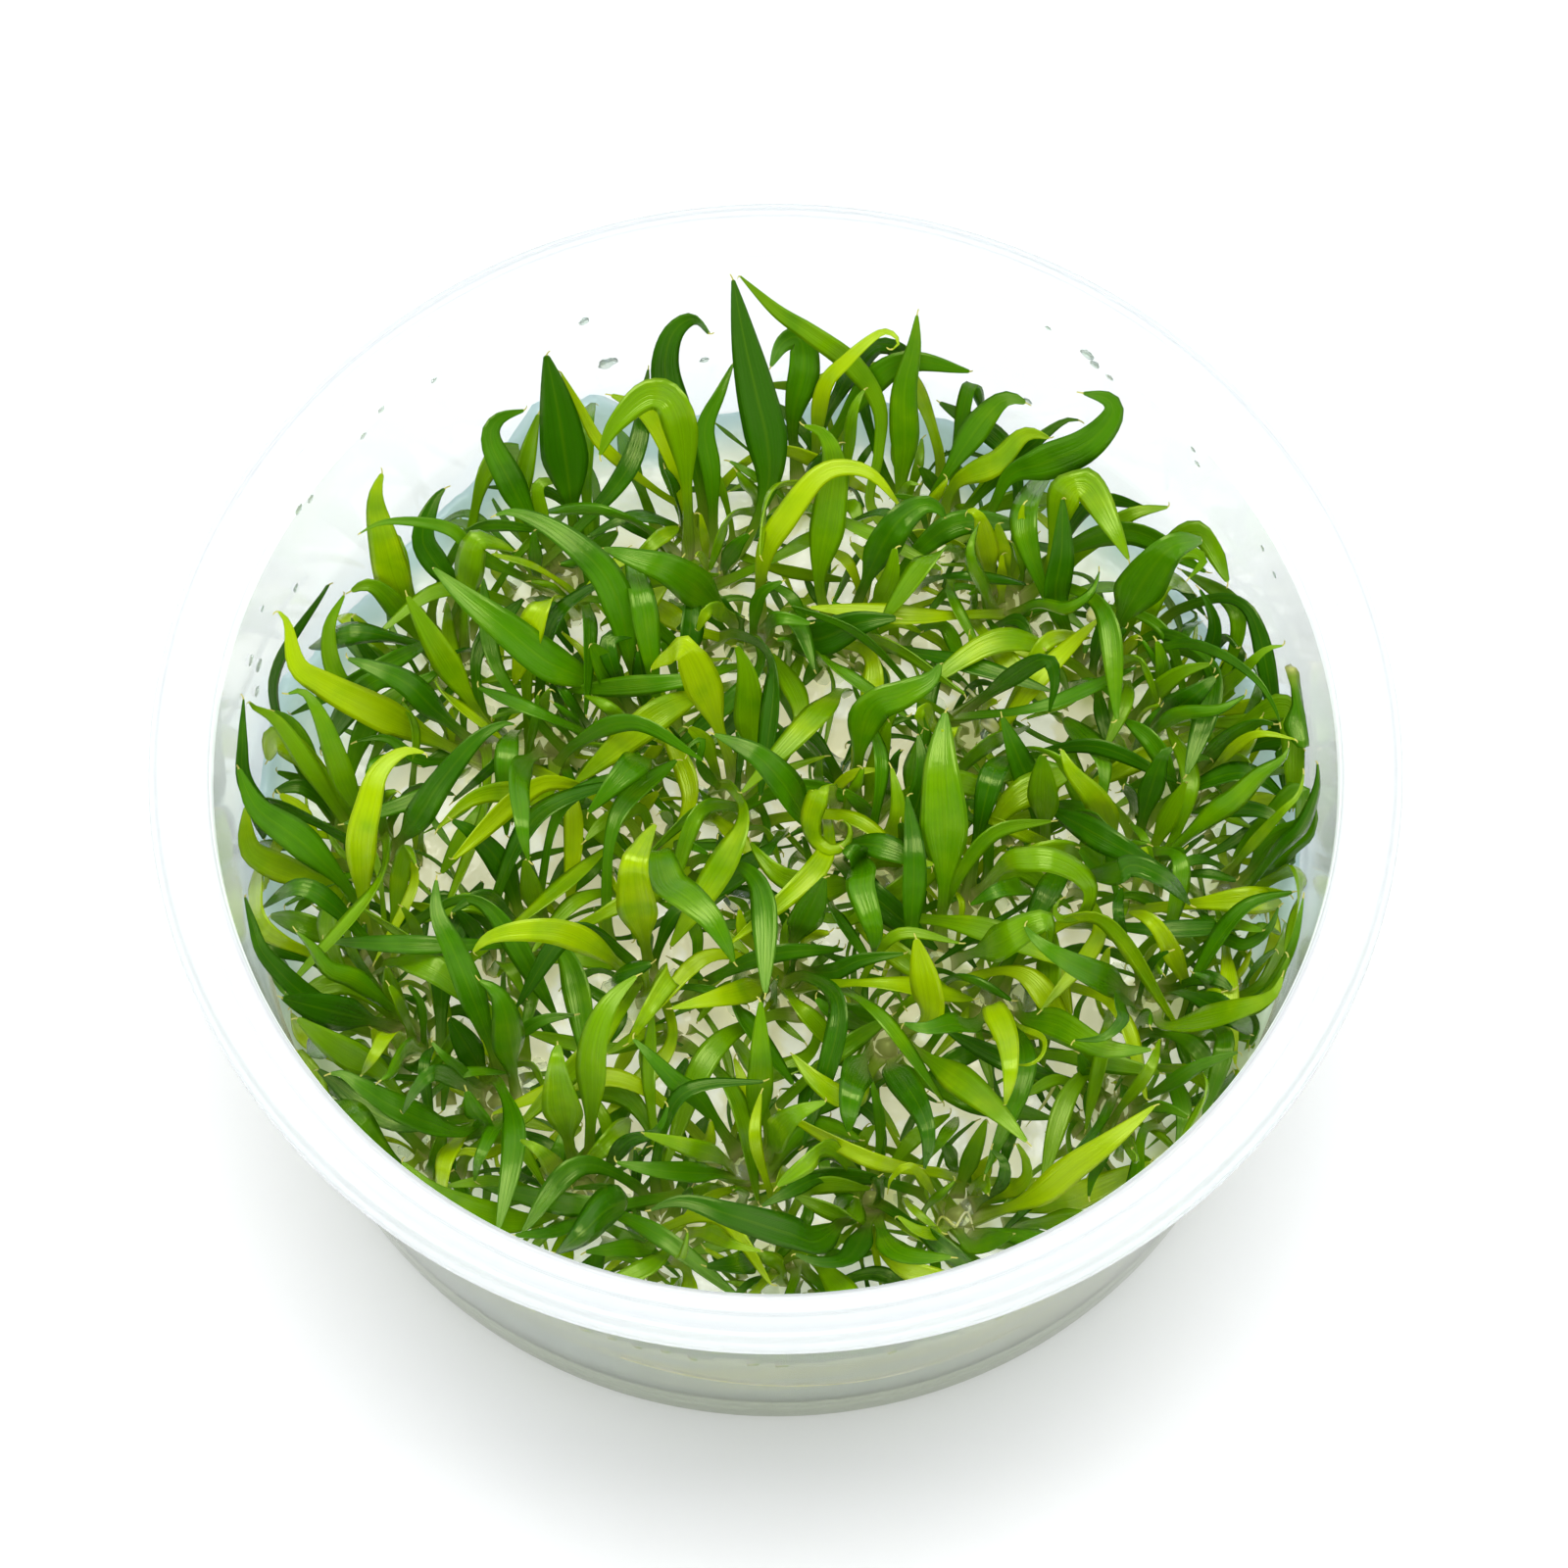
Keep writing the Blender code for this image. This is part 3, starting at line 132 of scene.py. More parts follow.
# A leaf is its width, its height half-way and at the tip, then its middle line from foot to tip as points
# (x, y) on the plan. A point (x, y, z) has a height of its own. The first table has the leaves that are
# solids too, and the second those that are too small or too tightly curled for that.
LEAVES = (
    # Far left, by the wall
    (3.6, 31, 40, (-15.5, 24), (-17.3, 30), (-18, 35), (-18.7, 39), (-19.6, 43.2)),
    (1.6, 27, 34, (-20.4, 24), (-21.5, 28), (-21, 32), (-19.9, 37.5)),
    (2.3, 31, 35, (-20.5, 27), (-22.5, 31), (-24, 34.5), (-23.3, 36.5), (-20.7, 37.4)),
    (2.8, 30, 36, (-31.2, 20), (-32.7, 25), (-33.5, 29), (-32.8, 32)),
    (1.2, 33, 35, (-24.5, 23.5), (-27, 26), (-30, 26.8), (-33, 26.7), (-35.2, 25.4)),
    (2.0, 28, 31, (-26, 20), (-28, 22.5), (-29.5, 25.3), (-28.6, 28.7), (-27.4, 30.3)),
    (2.4, 31, 31, (-25, 19.5), (-26, 22), (-25.3, 24.2), (-23.5, 24.9), (-21.5, 23.8)),
    (2.6, 35, 36, (-12, 14), (-12.7, 18), (-14, 21.5), (-16, 24), (-19, 26.4), (-22, 27.7), (-24, 27.2)),
    (2.6, 32, 38, (-26, 6.5), (-33, 9.5), (-37.5, 12), (-39.6, 13.7), (-40.5, 17.5), (-42.6, 19.3)),
    (1.8, 26, 28, (-30, 18.5), (-33, 20.6), (-35.8, 20.2)),
    (2.2, 33, 35, (-25.5, 7), (-28, 9.5), (-30.5, 12), (-33.5, 13.5), (-35.9, 14.4)),
    (2.2, 28, 33, (-24.5, 8), (-27.3, 14), (-29, 17), (-31, 20.6)),
    (3.0, 30, 33, (-14.5, 11.5), (-19, 14), (-22.5, 17), (-26, 20), (-29, 23)),
    # Far side, by the wall
    (3.3, 32, 42.3, (-2.5, 25), (-0.7, 30), (-0.7, 34), (-1.7, 39), (-2.7, 44), (-3.8, 50.5)),
    (1.8, 31, 42, (8, 28), (8.6, 33), (8.7, 37.5), (6.5, 41.5), (3, 44.5), (0, 46.8), (-3.5, 51)),
    (2.6, 31, 34, (1, 31), (1.4, 36), (2.3, 41), (2, 44.1), (0.5, 43.6), (-0.6, 41)),
    (1.3, 34, 36, (3.9, 38.8), (6, 42), (9, 44.7), (10.4, 43.8), (9.5, 42.7)),
    (2.3, 30, 39, (10.5, 29), (10.8, 34), (10.8, 39), (11.7, 43.5), (12, 47)),
    (2.6, 31, 38, (-6, 27), (-6.8, 32), (-8.3, 36.5), (-9.4, 41), (-8.8, 44.5), (-7, 46), (-5.5, 44.2)),
    (2.8, 33, 33, (-7, 31), (-8, 36), (-10.5, 38.8), (-13.5, 36), (-15, 32.5)),
    (1.6, 28, 33, (-5.4, 31), (-6, 35.5), (-4.7, 39), (-3.4, 42.3)),
    (1.9, 33, 32, (-2.5, 20.5), (-1, 23.5), (1, 27.5), (3.5, 31), (5.8, 31.9), (8.3, 31), (10.8, 27.6)),
    (2.7, 30, 35, (3.6, 21), (4.4, 27), (4.9, 32), (4, 35), (1.8, 36)),
    (2.8, 33, 32, (5.5, 18.5), (7, 21.5), (9.3, 25.5), (12, 28.3), (13.6, 28), (14.3, 26.7)),
    (2.0, 29, 34, (13, 28.6), (15, 30.3), (18.5, 32.3), (21, 35), (23.4, 34.5)),
    (3.0, 33, 34, (-4.7, 19.6), (-8, 21.8), (-12, 23.5), (-14.9, 24.5)),
    (3.0, 28, 30, (3.5, 16), (7, 17.5), (10.6, 18)),
    (2.0, 28, 33, (8.6, 17.6), (9.5, 21), (10, 25)),
    # Far right, by the wall
    (3.0, 33, 38, (17.5, 27), (19.5, 31), (22.5, 32.3), (26, 34), (28.2, 36.5), (28.1, 38.3), (25.4, 39)),
    (1.8, 31, 33, (17.8, 20), (17.7, 23.5), (17.1, 27), (15.6, 27.9)),
    (1.3, 28, 31, (17.2, 20), (16.2, 23.5), (17, 27)),
    (2.3, 30, 36, (23.3, 19.3), (23.8, 24), (24, 29.7)),
    (2.8, 37, 35, (22.5, 22), (24, 29), (26, 30.2), (28, 26.5), (29.6, 22.8)),
    (3.8, 35, 37, (24.5, 14.5), (26.5, 16.7), (29.5, 20.3), (32, 23.5), (36.1, 25.3)),
    (1.3, 28, 33, (35.5, 14), (36.4, 17.5), (35, 21.1)),
    (1.4, 34, 37, (35.5, 10), (38, 12.5), (40.5, 15), (43.8, 15.8)),
    (1.0, 33, 34, (33, 15.5), (36.5, 14.8), (39.5, 12.5), (41, 10), (41.6, 7.8)),
    (1.4, 30, 33, (20.8, 19.8), (19.5, 23), (18.5, 27)),
    (1.2, 30, 32, (21.5, 19.2), (24, 18.8), (26.2, 20.3), (27, 22.5)),
    # Left, from the wall to half-way in
    (1.6, 31, 38, (-37, -4), (-41, -0.5), (-43.7, 3), (-45, 7), (-45.4, 11.5)),
    (1.5, 29, 36, (-35.5, -3), (-38, 4), (-41, 8.5), (-43, 9.8), (-44.9, 10.8)),
    (2.6, 31, 37, (-33, -9), (-35.5, -5.5), (-39, -2), (-42.5, 0.8), (-45.6, 5)),
    (2.3, 34, 36, (-33.4, -9), (-33.8, -3), (-33.3, 1), (-32.5, 4), (-30.5, 5.8), (-28.3, 5.6)),
    (1.9, 31, 35, (-34, -1), (-34.9, 2), (-36, 5), (-37.5, 9), (-39, 11.2), (-40.7, 10.8)),
    (2.2, 35, 37, (-31, -4), (-29.5, -0.5), (-27.5, 3), (-24.5, 7), (-22, 8.4), (-21.3, 7.6)),
    (1.6, 28, 30, (-19, 1.5), (-22, 2.2), (-25, 1.5), (-28, -1.5)),
    (2.0, 36, 33, (-20.5, 8), (-21, 4), (-20.8, 0), (-20.5, -2.2), (-20, -4.4)),
    (2.0, 27, 31, (-20.8, -9), (-22, -5), (-24.5, -1.7), (-27, 0)),
    (1.8, 25, 29, (-18, -9.5), (-19, -7), (-20.5, -3.5)),
    (2.2, 34, 37, (-22.5, -20), (-24, -17), (-26, -12), (-27.5, -8.5), (-27.6, -5)),
    (2.2, 36, 35, (-12, -15), (-13.5, -12.4), (-16.5, -10.5), (-19.5, -10), (-23, -10.6), (-24.8, -12.3)),
    (1.6, 29, 34, (-33.5, -14.6), (-36, -13.5), (-37.5, -11.5), (-39.3, -9.7)),
    (1.8, 31, 37, (-35, -17.8), (-37, -16.5), (-39, -14.8), (-41.5, -12), (-42.7, -9.5), (-43.7, -6.5)),
    (1.5, 31, 31, (-31, -10), (-30.6, -6), (-30, -2.8), (-29.2, -4.6)),
    # Middle
    (2.3, 32, 27, (7, -4.7), (6.9, -6.2), (7.7, -9), (8, -10.5), (7.9, -12.3)),
    (2.8, 36, 37, (-2.5, 4), (-3.5, 8.5), (-4.8, 12), (-7, 14.3), (-9, 14.3), (-10.6, 13)),
    (2.5, 28, 35, (-1.5, 2), (-2, 7), (-2.2, 12), (-3.5, 16)),
    (2.9, 34, 36, (3, -1), (1.8, 1), (0.3, 3.4), (-2, 5.8), (-5.6, 7.6)),
    (1.9, 34, 31, (6.3, 1, 31), (5.8, 4, 36), (5, 4.6, 37.5), (4, 2.5, 37), (2.9, 0, 35),
     (3.2, -2, 32)),
    (2.9, 33, 35, (6.2, 2.5), (5.8, 6), (7.5, 9), (10.5, 11), (12.8, 12.3), (13.8, 14.2)),
    (1.6, 36, 32, (12.5, 11.5), (14.5, 13), (18, 13.9), (21.5, 14), (23, 12.6), (22.4, 8.8)),
    (1.8, 27, 29, (7, 2), (7.5, 5), (9.5, 9)),
    (1.2, 33, 30, (14, 9), (13.8, 10.4), (13.3, 7), (13, 5.1)),
    (1.6, 34, 31, (15.5, 10), (15, 11), (14.3, 8), (14, 5.5)),
    (3.6, 32, 35, (13, -11), (13.7, -6), (13.8, 0), (13.6, 5), (14, 10)),
    (2.0, 29, 32, (10.5, -4), (12, 3), (11.6, 8)),
    (1.5, 27, 30, (9.2, -3), (10, 0), (9.4, 5)),
    (2.2, 29, 32, (-11, 9), (-12.5, 12), (-15.5, 16)),
    (1.6, 27, 30, (-10.2, 8), (-10.4, 11), (-11.5, 15.5)),
    (1.4, 26, 28, (-11.5, 8), (-13.5, 9.5), (-16, 11)),
    (1.0, 29, 28, (-5, 2), (-6.2, 4.5), (-6, 6.8), (-7, 6.4), (-7.3, 5.3)),
    (3.0, 36, 37, (-10.5, -14), (-11, -11.5), (-11.5, -8.5), (-11.5, -5.5), (-10.8, -2.5), (-9.6, -0.3)),
    (2.8, 35, 33, (-9.2, -1), (-9.6, -3), (-8.8, -5.8), (-7, -7.3), (-5.3, -9), (-4, -11.3), (-3.2, -13.3)),
    (1.8, 30, 33, (-5.5, -5.8), (-4.4, -4.5), (-4.1, -3), (-4.8, -1.4)),
    (2.2, 29, 30, (6, -6), (3.5, -6.3), (0.5, -5.3), (-1.2, -3.6), (-2.3, -1.9)),
    (2.6, 34, 37, (-0.9, -13.4), (-0.2, -11.5), (1, -9), (2.5, -6.5), (4.1, -5.1)),
    (2.8, 36, 38, (12.4, -17.5), (11.5, -15), (10.9, -12.5), (11.3, -10.3)),
    (2.7, 35, 33, (13.8, -12.2), (15.5, -11.5), (18, -11.2), (20.3, -9.8), (22.2, -9.4), (21.9, -12.6)),
    (1.4, 27, 29, (2.5, -14.5), (4.5, -13.7), (7, -12.6), (11, -12)),
    (2.0, 34, 31, (-9.6, -12.8), (-8.6, -13.2), (-8.5, -14), (-9.4, -15.5), (-10.6, -17.6), (-12, -20.2)),
    # Right, from half-way out to the wall
    (1.5, 31, 34, (29.5, 8.2), (31, 8.6), (33, 9), (36.5, 9.6), (39.2, 11.2)),
    (2.4, 29, 33, (29, 6.3), (31, 8), (34, 10.5), (36.8, 13)),
    (1.5, 28, 32, (31, 11.6), (33, 12.6), (36.5, 13.9)),
    (1.9, 30, 34, (34, 6.3), (36, 7.5), (39, 8.2), (41.6, 8.1)),
    (0.9, 32, 34, (34, 5.4), (36, 6.1), (39, 7.2), (43.3, 6.8)),
    (1.8, 30, 34, (35.5, 0), (37.5, 1.5), (39.6, 3.7), (41.6, 5.2), (42.3, 6.8)),
    (1.3, 33, 38, (39.5, -4.5), (41.5, -2.5), (43, -0.8), (44.8, 2.5), (45.7, 5.5)),
    (0.9, 32, 35, (38.5, -1.5), (41, 0), (42.8, 2), (43.4, 4.4)),
    (2.9, 34, 39, (34.5, -6.3), (37.5, -4.2), (41, -2.5), (44.5, -0.9), (47, 1.8)),
    (1.4, 31, 34, (34, 0.6), (36, 0.7), (40, 0.4), (43.5, -2.2)),
    (2.5, 33, 36, (20.7, -4), (21.4, -2), (22.5, 1.3), (22.3, 4.3), (21.9, 6)),
    (2.3, 28, 34, (21.6, -2), (21.4, 1), (20, 5), (18.4, 9.5)),
    (2.2, 30, 33, (27.5, -2.7), (26.5, 1), (24.3, 4), (23.2, 6.6)),
    (2.5, 26, 29, (27.5, -5.2), (26.5, -4.5), (24.5, -2.5)),
    (1.8, 33, 32, (27.7, -5), (28.6, -4.4), (29.9, -4.5), (32, -5.8), (33.8, -8)),
    (1.9, 35, 31, (18, -5.2, 29), (18.6, -4.3, 33), (20.5, -3.8, 36), (22.5, -3.9, 36.5), (24.5, -4.9, 35),
     (25.6, -6.5, 33), (24.9, -8.6, 31)),
    (2.0, 28, 31, (20, -6.3), (18, -6.6), (15.5, -8)),
    (1.5, 31, 29, (33, -15), (32.6, -12.5), (31, -9.8), (28.3, -8.3)),
    (1.4, 32, 36, (38, -17), (40, -15.6), (41.5, -14), (42.4, -12)),
    (2.0, 30, 33, (28.4, -2), (29, 2), (31.5, 4.8), (33, 6.3)),
    (1.6, 27, 30, (30.5, -3), (32, -1), (33.8, 3.5)),
    (2.3, 34, 36, (29, -16), (26.5, -14.3), (23.5, -12.7), (21.2, -11), (19.9, -9.3)),
    # Near left
    (2.7, 33, 38, (-31, -19.8), (-32.5, -18.8), (-35, -17.3), (-38, -16.5), (-41, -16.3)),
    (2.4, 29, 33, (-31.5, -22.5), (-33.5, -21.3), (-36.5, -19.3), (-39, -17.3)),
    (2.6, 33, 36, (-24.8, -27.4), (-27, -27), (-30.5, -25.4), (-33.2, -23.6), (-34.8, -22.5), (-36.9, -23)),
    (1.6, 33, 31, (-30, -18.3), (-31, -19), (-32.3, -21), (-33.3, -22.8)),
    (2.0, 32, 31, (-29.2, -19), (-29.8, -20.5), (-31, -22.6), (-32.3, -23.3)),
    (1.5, 35, 33, (-22, -23), (-24, -22.6), (-27, -22.4), (-28.8, -23.8), (-30, -26.3)),
    (3.0, 35, 39, (-16.1, -30), (-16.8, -28), (-17.2, -25), (-17.4, -22.5), (-17.5, -19.4)),
    (1.3, 30, 27, (-22.4, -27), (-23.1, -28.5), (-23.7, -30), (-24, -31.9)),
    (1.0, 27, 31, (-29.5, -30.5), (-31, -29.5), (-32, -28), (-32.8, -26)),
    (2.2, 31, 36, (-18, -34.6), (-20.5, -35), (-23.5, -34.3), (-27, -32.6), (-29.3, -30.8), (-30.5, -29.8)),
    (1.6, 30, 33, (-16, -35), (-17.5, -36), (-21.2, -36.2)),
    (1.6, 32, 33, (-16.1, -32), (-17, -31), (-18.5, -29.3), (-20.8, -27.9)),
    (2.6, 30, 33, (-20.6, -21), (-21.2, -19), (-22, -16.5), (-24.5, -14)),
    (2.2, 27, 30, (-22.4, -22), (-24, -20), (-26.5, -17.3)),
    # Near side
    (2.4, 33, 36, (-14.4, -29.5), (-14.7, -25), (-14.6, -20), (-13.3, -16.3), (-10.8, -13.6)),
    (1.6, 30, 33, (-6, -24.8), (-8, -23.2), (-10, -21), (-11.9, -19)),
    (1.9, 31, 33, (-0.5, -14.7), (-2, -15.2), (-5, -16), (-9, -17)),
    (2.0, 29, 33, (-1.2, -27), (-1.2, -23), (-1.2, -20), (-1.2, -15.5)),
    (1.3, 31, 35, (-14, -29.2), (-12, -28.4), (-9.5, -27.4), (-8.4, -24.7)),
    (1.6, 32, 34, (-2.8, -30.5), (-4.5, -29.6), (-7, -28.7), (-11.1, -27.4)),
    (1.7, 29, 31, (-4.5, -31), (-7, -30.9), (-10, -30.6), (-13.3, -29.9)),
    (2.7, 34, 36, (3.5, -36.6), (1, -36), (-3.5, -34.5), (-7.5, -33.3), (-10.5, -34.3)),
    (2.5, 34, 37, (-2.4, -29.3), (-1.2, -27.8), (1, -26.4), (4.6, -24.6)),
    (2.6, 37, 34, (8, -19), (7.2, -19.6), (6.4, -22.8), (5.9, -25.5), (5.8, -27.8)),
    (2.0, 29, 31, (6, -24.5), (3.5, -23.3), (1, -20.4)),
    (1.8, 29, 30, (0.5, -28.5), (2.5, -27.5), (4.5, -27.2), (7.1, -28.3)),
    (2.3, 36, 33, (9.2, -21.9), (10, -22.8), (11.6, -25.5), (12.2, -28), (11.8, -31)),
    (2.4, 31, 33, (10.2, -20.1), (12, -21), (15.3, -23.5), (18, -26), (20.5, -28.8)),
    (1.9, 34, 35, (15.7, -18.4), (14.3, -18.2), (12, -18.6), (9.9, -18)),
    (0.8, 32, 29, (14.8, -33), (14.6, -31.8), (13.3, -30.6), (11, -30.4), (9.3, -31.3), (8.9, -32.6)),
    (1.4, 28, 31, (14, -31.5), (14.2, -29.5), (15.3, -28), (17, -26)),
    (2.0, 28, 31, (-1, -38.5), (-3, -38.6), (-6, -38.8)),
    (1.4, 33, 35, (-6.8, -35.6), (-5.3, -36), (-3.3, -37), (-0.5, -37.6)),
    (1.5, 27, 30, (-10, -37.2), (-12, -37.3), (-15.5, -37.6)),
    (2.0, 30, 33, (6, -37.8), (3.5, -38.4), (1, -37.5)),
    (2.2, 27, 29, (6, -34.6), (4.5, -34.1), (1, -32.6)),
    (1.6, 27, 30, (7.4, -18.5), (4.6, -17.3), (2.8, -15.5)),
    # Near right
    (2.0, 36, 34, (17.4, -15), (17.5, -16.5), (18.6, -19.5), (18.8, -22.5), (18.3, -25.6)),
    (2.4, 32, 33, (20, -17.7), (22.5, -18.2), (26.5, -20.3), (30.8, -20.4)),
    (1.4, 34, 34, (27.8, -16, 32), (27.7, -16.7, 34), (27.9, -17.9, 35), (26.3, -19.4), (23.6, -19.6)),
    (2.4, 34, 38, (31, -18.2), (33, -18.2), (37, -17.1), (40, -15.8), (42.3, -14)),
    (1.2, 30, 33, (29, -25), (31.5, -23.4), (34, -21.8), (38, -20.5)),
    (2.2, 33, 36, (16.5, -35.2), (20.5, -33), (23.8, -30.4), (27, -28), (30.8, -24.8)),
    (1.0, 31, 35, (28.6, -29.8), (28.8, -29.4), (28, -28.4)),
    (1.3, 28, 31, (26, -29.5), (25.2, -31.5), (24.8, -33.5)),
    (1.2, 27, 31, (17, -33.5), (19.5, -32), (20, -30), (19, -28)),
    (1.8, 31, 34, (15.4, -37), (17, -36.8), (19.2, -35.9)),
)

SMALL_LEAVES = (
    (1.0, 25, 28, (-31, 12), (-34, 15), (-35.4, 18.5)),
    (1.3, 27, 28, (-19.5, 25), (-20, 29.5), (-18.6, 30.6), (-17.6, 30.2)),
    (1.3, 29, 28, (-17.3, 25), (-16, 27.7), (-13, 26.1)),
    (1.4, 29, 33, (-9, 33), (-11, 37), (-14.5, 39)),
    (1.2, 29, 32, (5.6, 30), (6.5, 37), (7.7, 39.7)),
    (1.2, 30, 33, (19.5, 32), (24, 36.1), (26.4, 36.6)),
    (1.4, 31, 30, (-1, 17.5), (-3, 19), (-5.3, 18.8), (-6.7, 16.3)),
    (1.2, 30, 30, (-2.5, 17), (0, 17.9), (3.4, 17.3)),
    (1.4, 29, 29, (-13.5, 13.5), (-13.7, 16), (-10.7, 16.6)),
    (1.6, 31, 31, (32, 22), (33.8, 24), (35.6, 23.3), (34.1, 21.3)),
    (1.0, 28, 32, (28, 15.5), (31, 16.3), (34, 15.8), (36.6, 13)),
    (0.8, 27, 31, (21, 25), (20.5, 27), (20.8, 29)),
    (1.2, 27, 33, (-36, 0.5), (-38.5, 6), (-40, 8.5), (-41.8, 9.7)),
    (1.2, 30, 30, (-21.5, -8.5), (-23.5, -7), (-26.8, -8.8)),
    (1.5, 26, 28, (-30.5, -18), (-31, -16), (-31.5, -13)),
    (1.0, 24, 26, (-36, 1), (-38.5, 3), (-41.5, 4.2)),
    (1.4, 25, 28, (-36.5, -3.5), (-37.6, -2), (-38.9, 0.5), (-41, 2.3)),
    (1.2, 26, 29, (-34.5, 0), (-36.5, 3), (-38.2, 5.2)),
    (0.9, 27, 29, (-29, 5), (-32, 7), (-35, 6.6)),
    (1.3, 33, 31, (13, 8), (12.3, 9.8), (11.8, 9), (12.2, 7.8)),
    (1.3, 28, 26, (-12.3, 7.3), (-12.5, 6.8), (-11.3, 4.3), (-10.8, 2)),
    (1.5, 25, 26, (-16, 1.2), (-15, 1.5), (-13.6, 1.6)),
    (1.4, 26, 27, (-9.5, -1), (-11, 0.6), (-14, -0.5), (-15.8, -2.5)),
    (1.3, 30, 30, (-9.3, -3.3), (-7.5, -2.5), (-5, -3.6)),
    (1.0, 25, 28, (-1, -12.5), (-2.5, -10.5), (-3, -7.8)),
    (0.9, 25, 25, (7, -8), (5, -9), (2, -8.6)),
    (0.8, 29, 31, (8.6, -4.7), (9.7, -4.3), (10.9, -3.4), (10.8, -1.8)),
    (1.4, 29, 30, (10, -5.5), (11.5, -4.2), (13.3, -4.3)),
    (1.0, 29, 30, (29.5, -3.6), (31.5, -2.8), (33.5, -2.8)),
    (0.9, 26, 29, (28.5, -11), (27.8, -9), (28.2, -6)),
    (1.2, 28, 30, (36, -9.2), (37.5, -9.6), (40, -10.2)),
    (1.0, 27, 30, (35.5, -11), (38, -11.3), (40, -9.9), (41, -7.5)),
    (1.2, 26, 28, (37.5, -6.5), (40.3, -6.8), (42.8, -7)),
    (0.8, 34, 38, (38.5, -16), (40.5, -14), (42, -11), (43, -6.5)),
    (1.2, 27, 28, (31, -14.2), (33, -13.6), (35, -14.2), (37.3, -15.6)),
    (1.0, 26, 28, (35.5, 3.2), (38, 5.2), (39.3, 3.8)),
    (1.0, 29, 31, (-23.8, -23.6), (-26.3, -21.3), (-28, -19.3)),
    (0.9, 25, 27, (-20.5, -28.5), (-23, -29.3), (-25, -29.1), (-26.6, -30.5)),
    (0.9, 26, 28, (-18.5, -32.6), (-22, -31.6), (-26.8, -32.1)),
    (1.2, 30, 31, (4.5, -31.5), (3, -31.5), (0.8, -32.7), (-1.6, -34)),
    (1.2, 29, 31, (12.8, -36), (11.3, -35.8), (9.3, -34.2)),
    (0.9, 26, 31, (9, -30.5), (8.4, -27), (7.6, -22.5)),
    (1.0, 28, 29, (16.2, -33), (17.9, -32), (18.2, -30), (16.9, -28.7)),
    (1.0, 26, 28, (24, -23.5), (22.3, -23), (19.5, -24.6)),
    (1.2, 26, 29, (25.8, -24), (25, -22.5), (24.3, -20.5)),
    (0.5, 34, 33, (19.8, -18.5), (21.5, -19.4), (21.4, -20.8), (20.3, -21.7), (18.7, -21.6)),
    (1.0, 27, 29, (28.5, -25.7), (31, -25.3), (33.5, -26.5)),
    (1.8, 31, 33, (-13, -14.2), (-12, -13.5), (-9.6, -12.8)),
    (1.0, 33, 36, (-7.4, -38), (-7.1, -37), (-6.9, -35.2)),
    (2.0, 27, 31, (-23.3, -27), (-24.2, -25.5), (-24.9, -23.5)),
    (1.0, 29, 37, (-7, 27.3), (-10, 29.7), (-12.7, 32), (-15, 34.5), (-16.5, 37.5), (-18.5, 41.5)),
    (1.4, 27, 33, (-31, 7.5), (-34, 10), (-36.4, 13), (-37, 17), (-35.6, 20.6)),
    (2.0, 30, 31, (8.8, -5.2), (7.7, -4.3), (6.4, -3.3), (5.3, -2.8)),
    (2.2, 28, 32, (-36, -6.5), (-38, -5.5), (-41.5, -4), (-43.6, -2.5), (-44.8, 1.5)),
    (2.0, 29, 32, (9, -37), (11, -38), (14.5, -38)),
    (2.9, 37, 36, (-12.5, -34), (-12, -33.3), (-13.5, -34), (-15.5, -36.2), (-17.8, -38.4)),
    (1.8, 34, 34, (6.4, -29.5), (5.6, -28.5), (4.3, -28.8), (2.3, -30.3), (-0.3, -32.4)),
)

# The ends of leaves that curl on further than their solids do, by leaf number
CURLED_ENDS = {
    58: ((4.6, -3.0, 30.5), (5.9, -2.2, 30.5), (6.0, -0.8, 31.0), (5.1, -0.1, 31.0)),
    95: ((23.0, -9.0, 31.0), (22.7, -7.9, 32.0), (23.5, -7.0, 32.0)),
}
# A scrap of leaf stuck to the wall: width and middle line
WALL_SCRAP = (2.6, ((43.6, 13.8, 35.0), (43.3, 11.0, 33.5), (43.3, 8.5, 32.5), (43.5, 5.7, 32.0)))
# Leaves pressed against the near wall: the first and last azimuth and the step between them, in degrees
PRESSED_LEAVES = (-150, -30, 3)

# For each kind of young leaf: how many a crown has at most, then the least and most of its reach, its height,
# its width and how far its tip rises or droops as a share of its height
YOUNG_LEAVES = (
    (5, (11.0, 20.0), (7.0, 14.0), (1.3, 2.5), (-0.65, 0.05)),
    (6, (7.0, 15.0), (4.0, 11.0), (0.9, 1.9), (-0.65, 0.0)),
    (6, (4.0, 9.0), (2.5, 8.0), (0.6, 1.3), (-0.4, 0.2)),
    (7, (5.0, 13.0), (0.8, 3.0), (0.35, 0.8), (-0.3, 0.1)),
    (7, (1.4, 3.8), (4.0, 10.0), (0.7, 1.5), (0.0, 0.3)),
)
TRIES_PER_LEAF = 9
SHOOT_SPREAD = 4.5
SEED = 7

# A crown's rings, as rise and radius
CROWN_PROFILE = ((-2.4, 0.25), (-1.6, 0.7), (-0.6, 1.0), (0.2, 1.05), (0.7, 0.9), (1.1, 0.5), (1.25, 0.15))
RING_CORNERS = 10

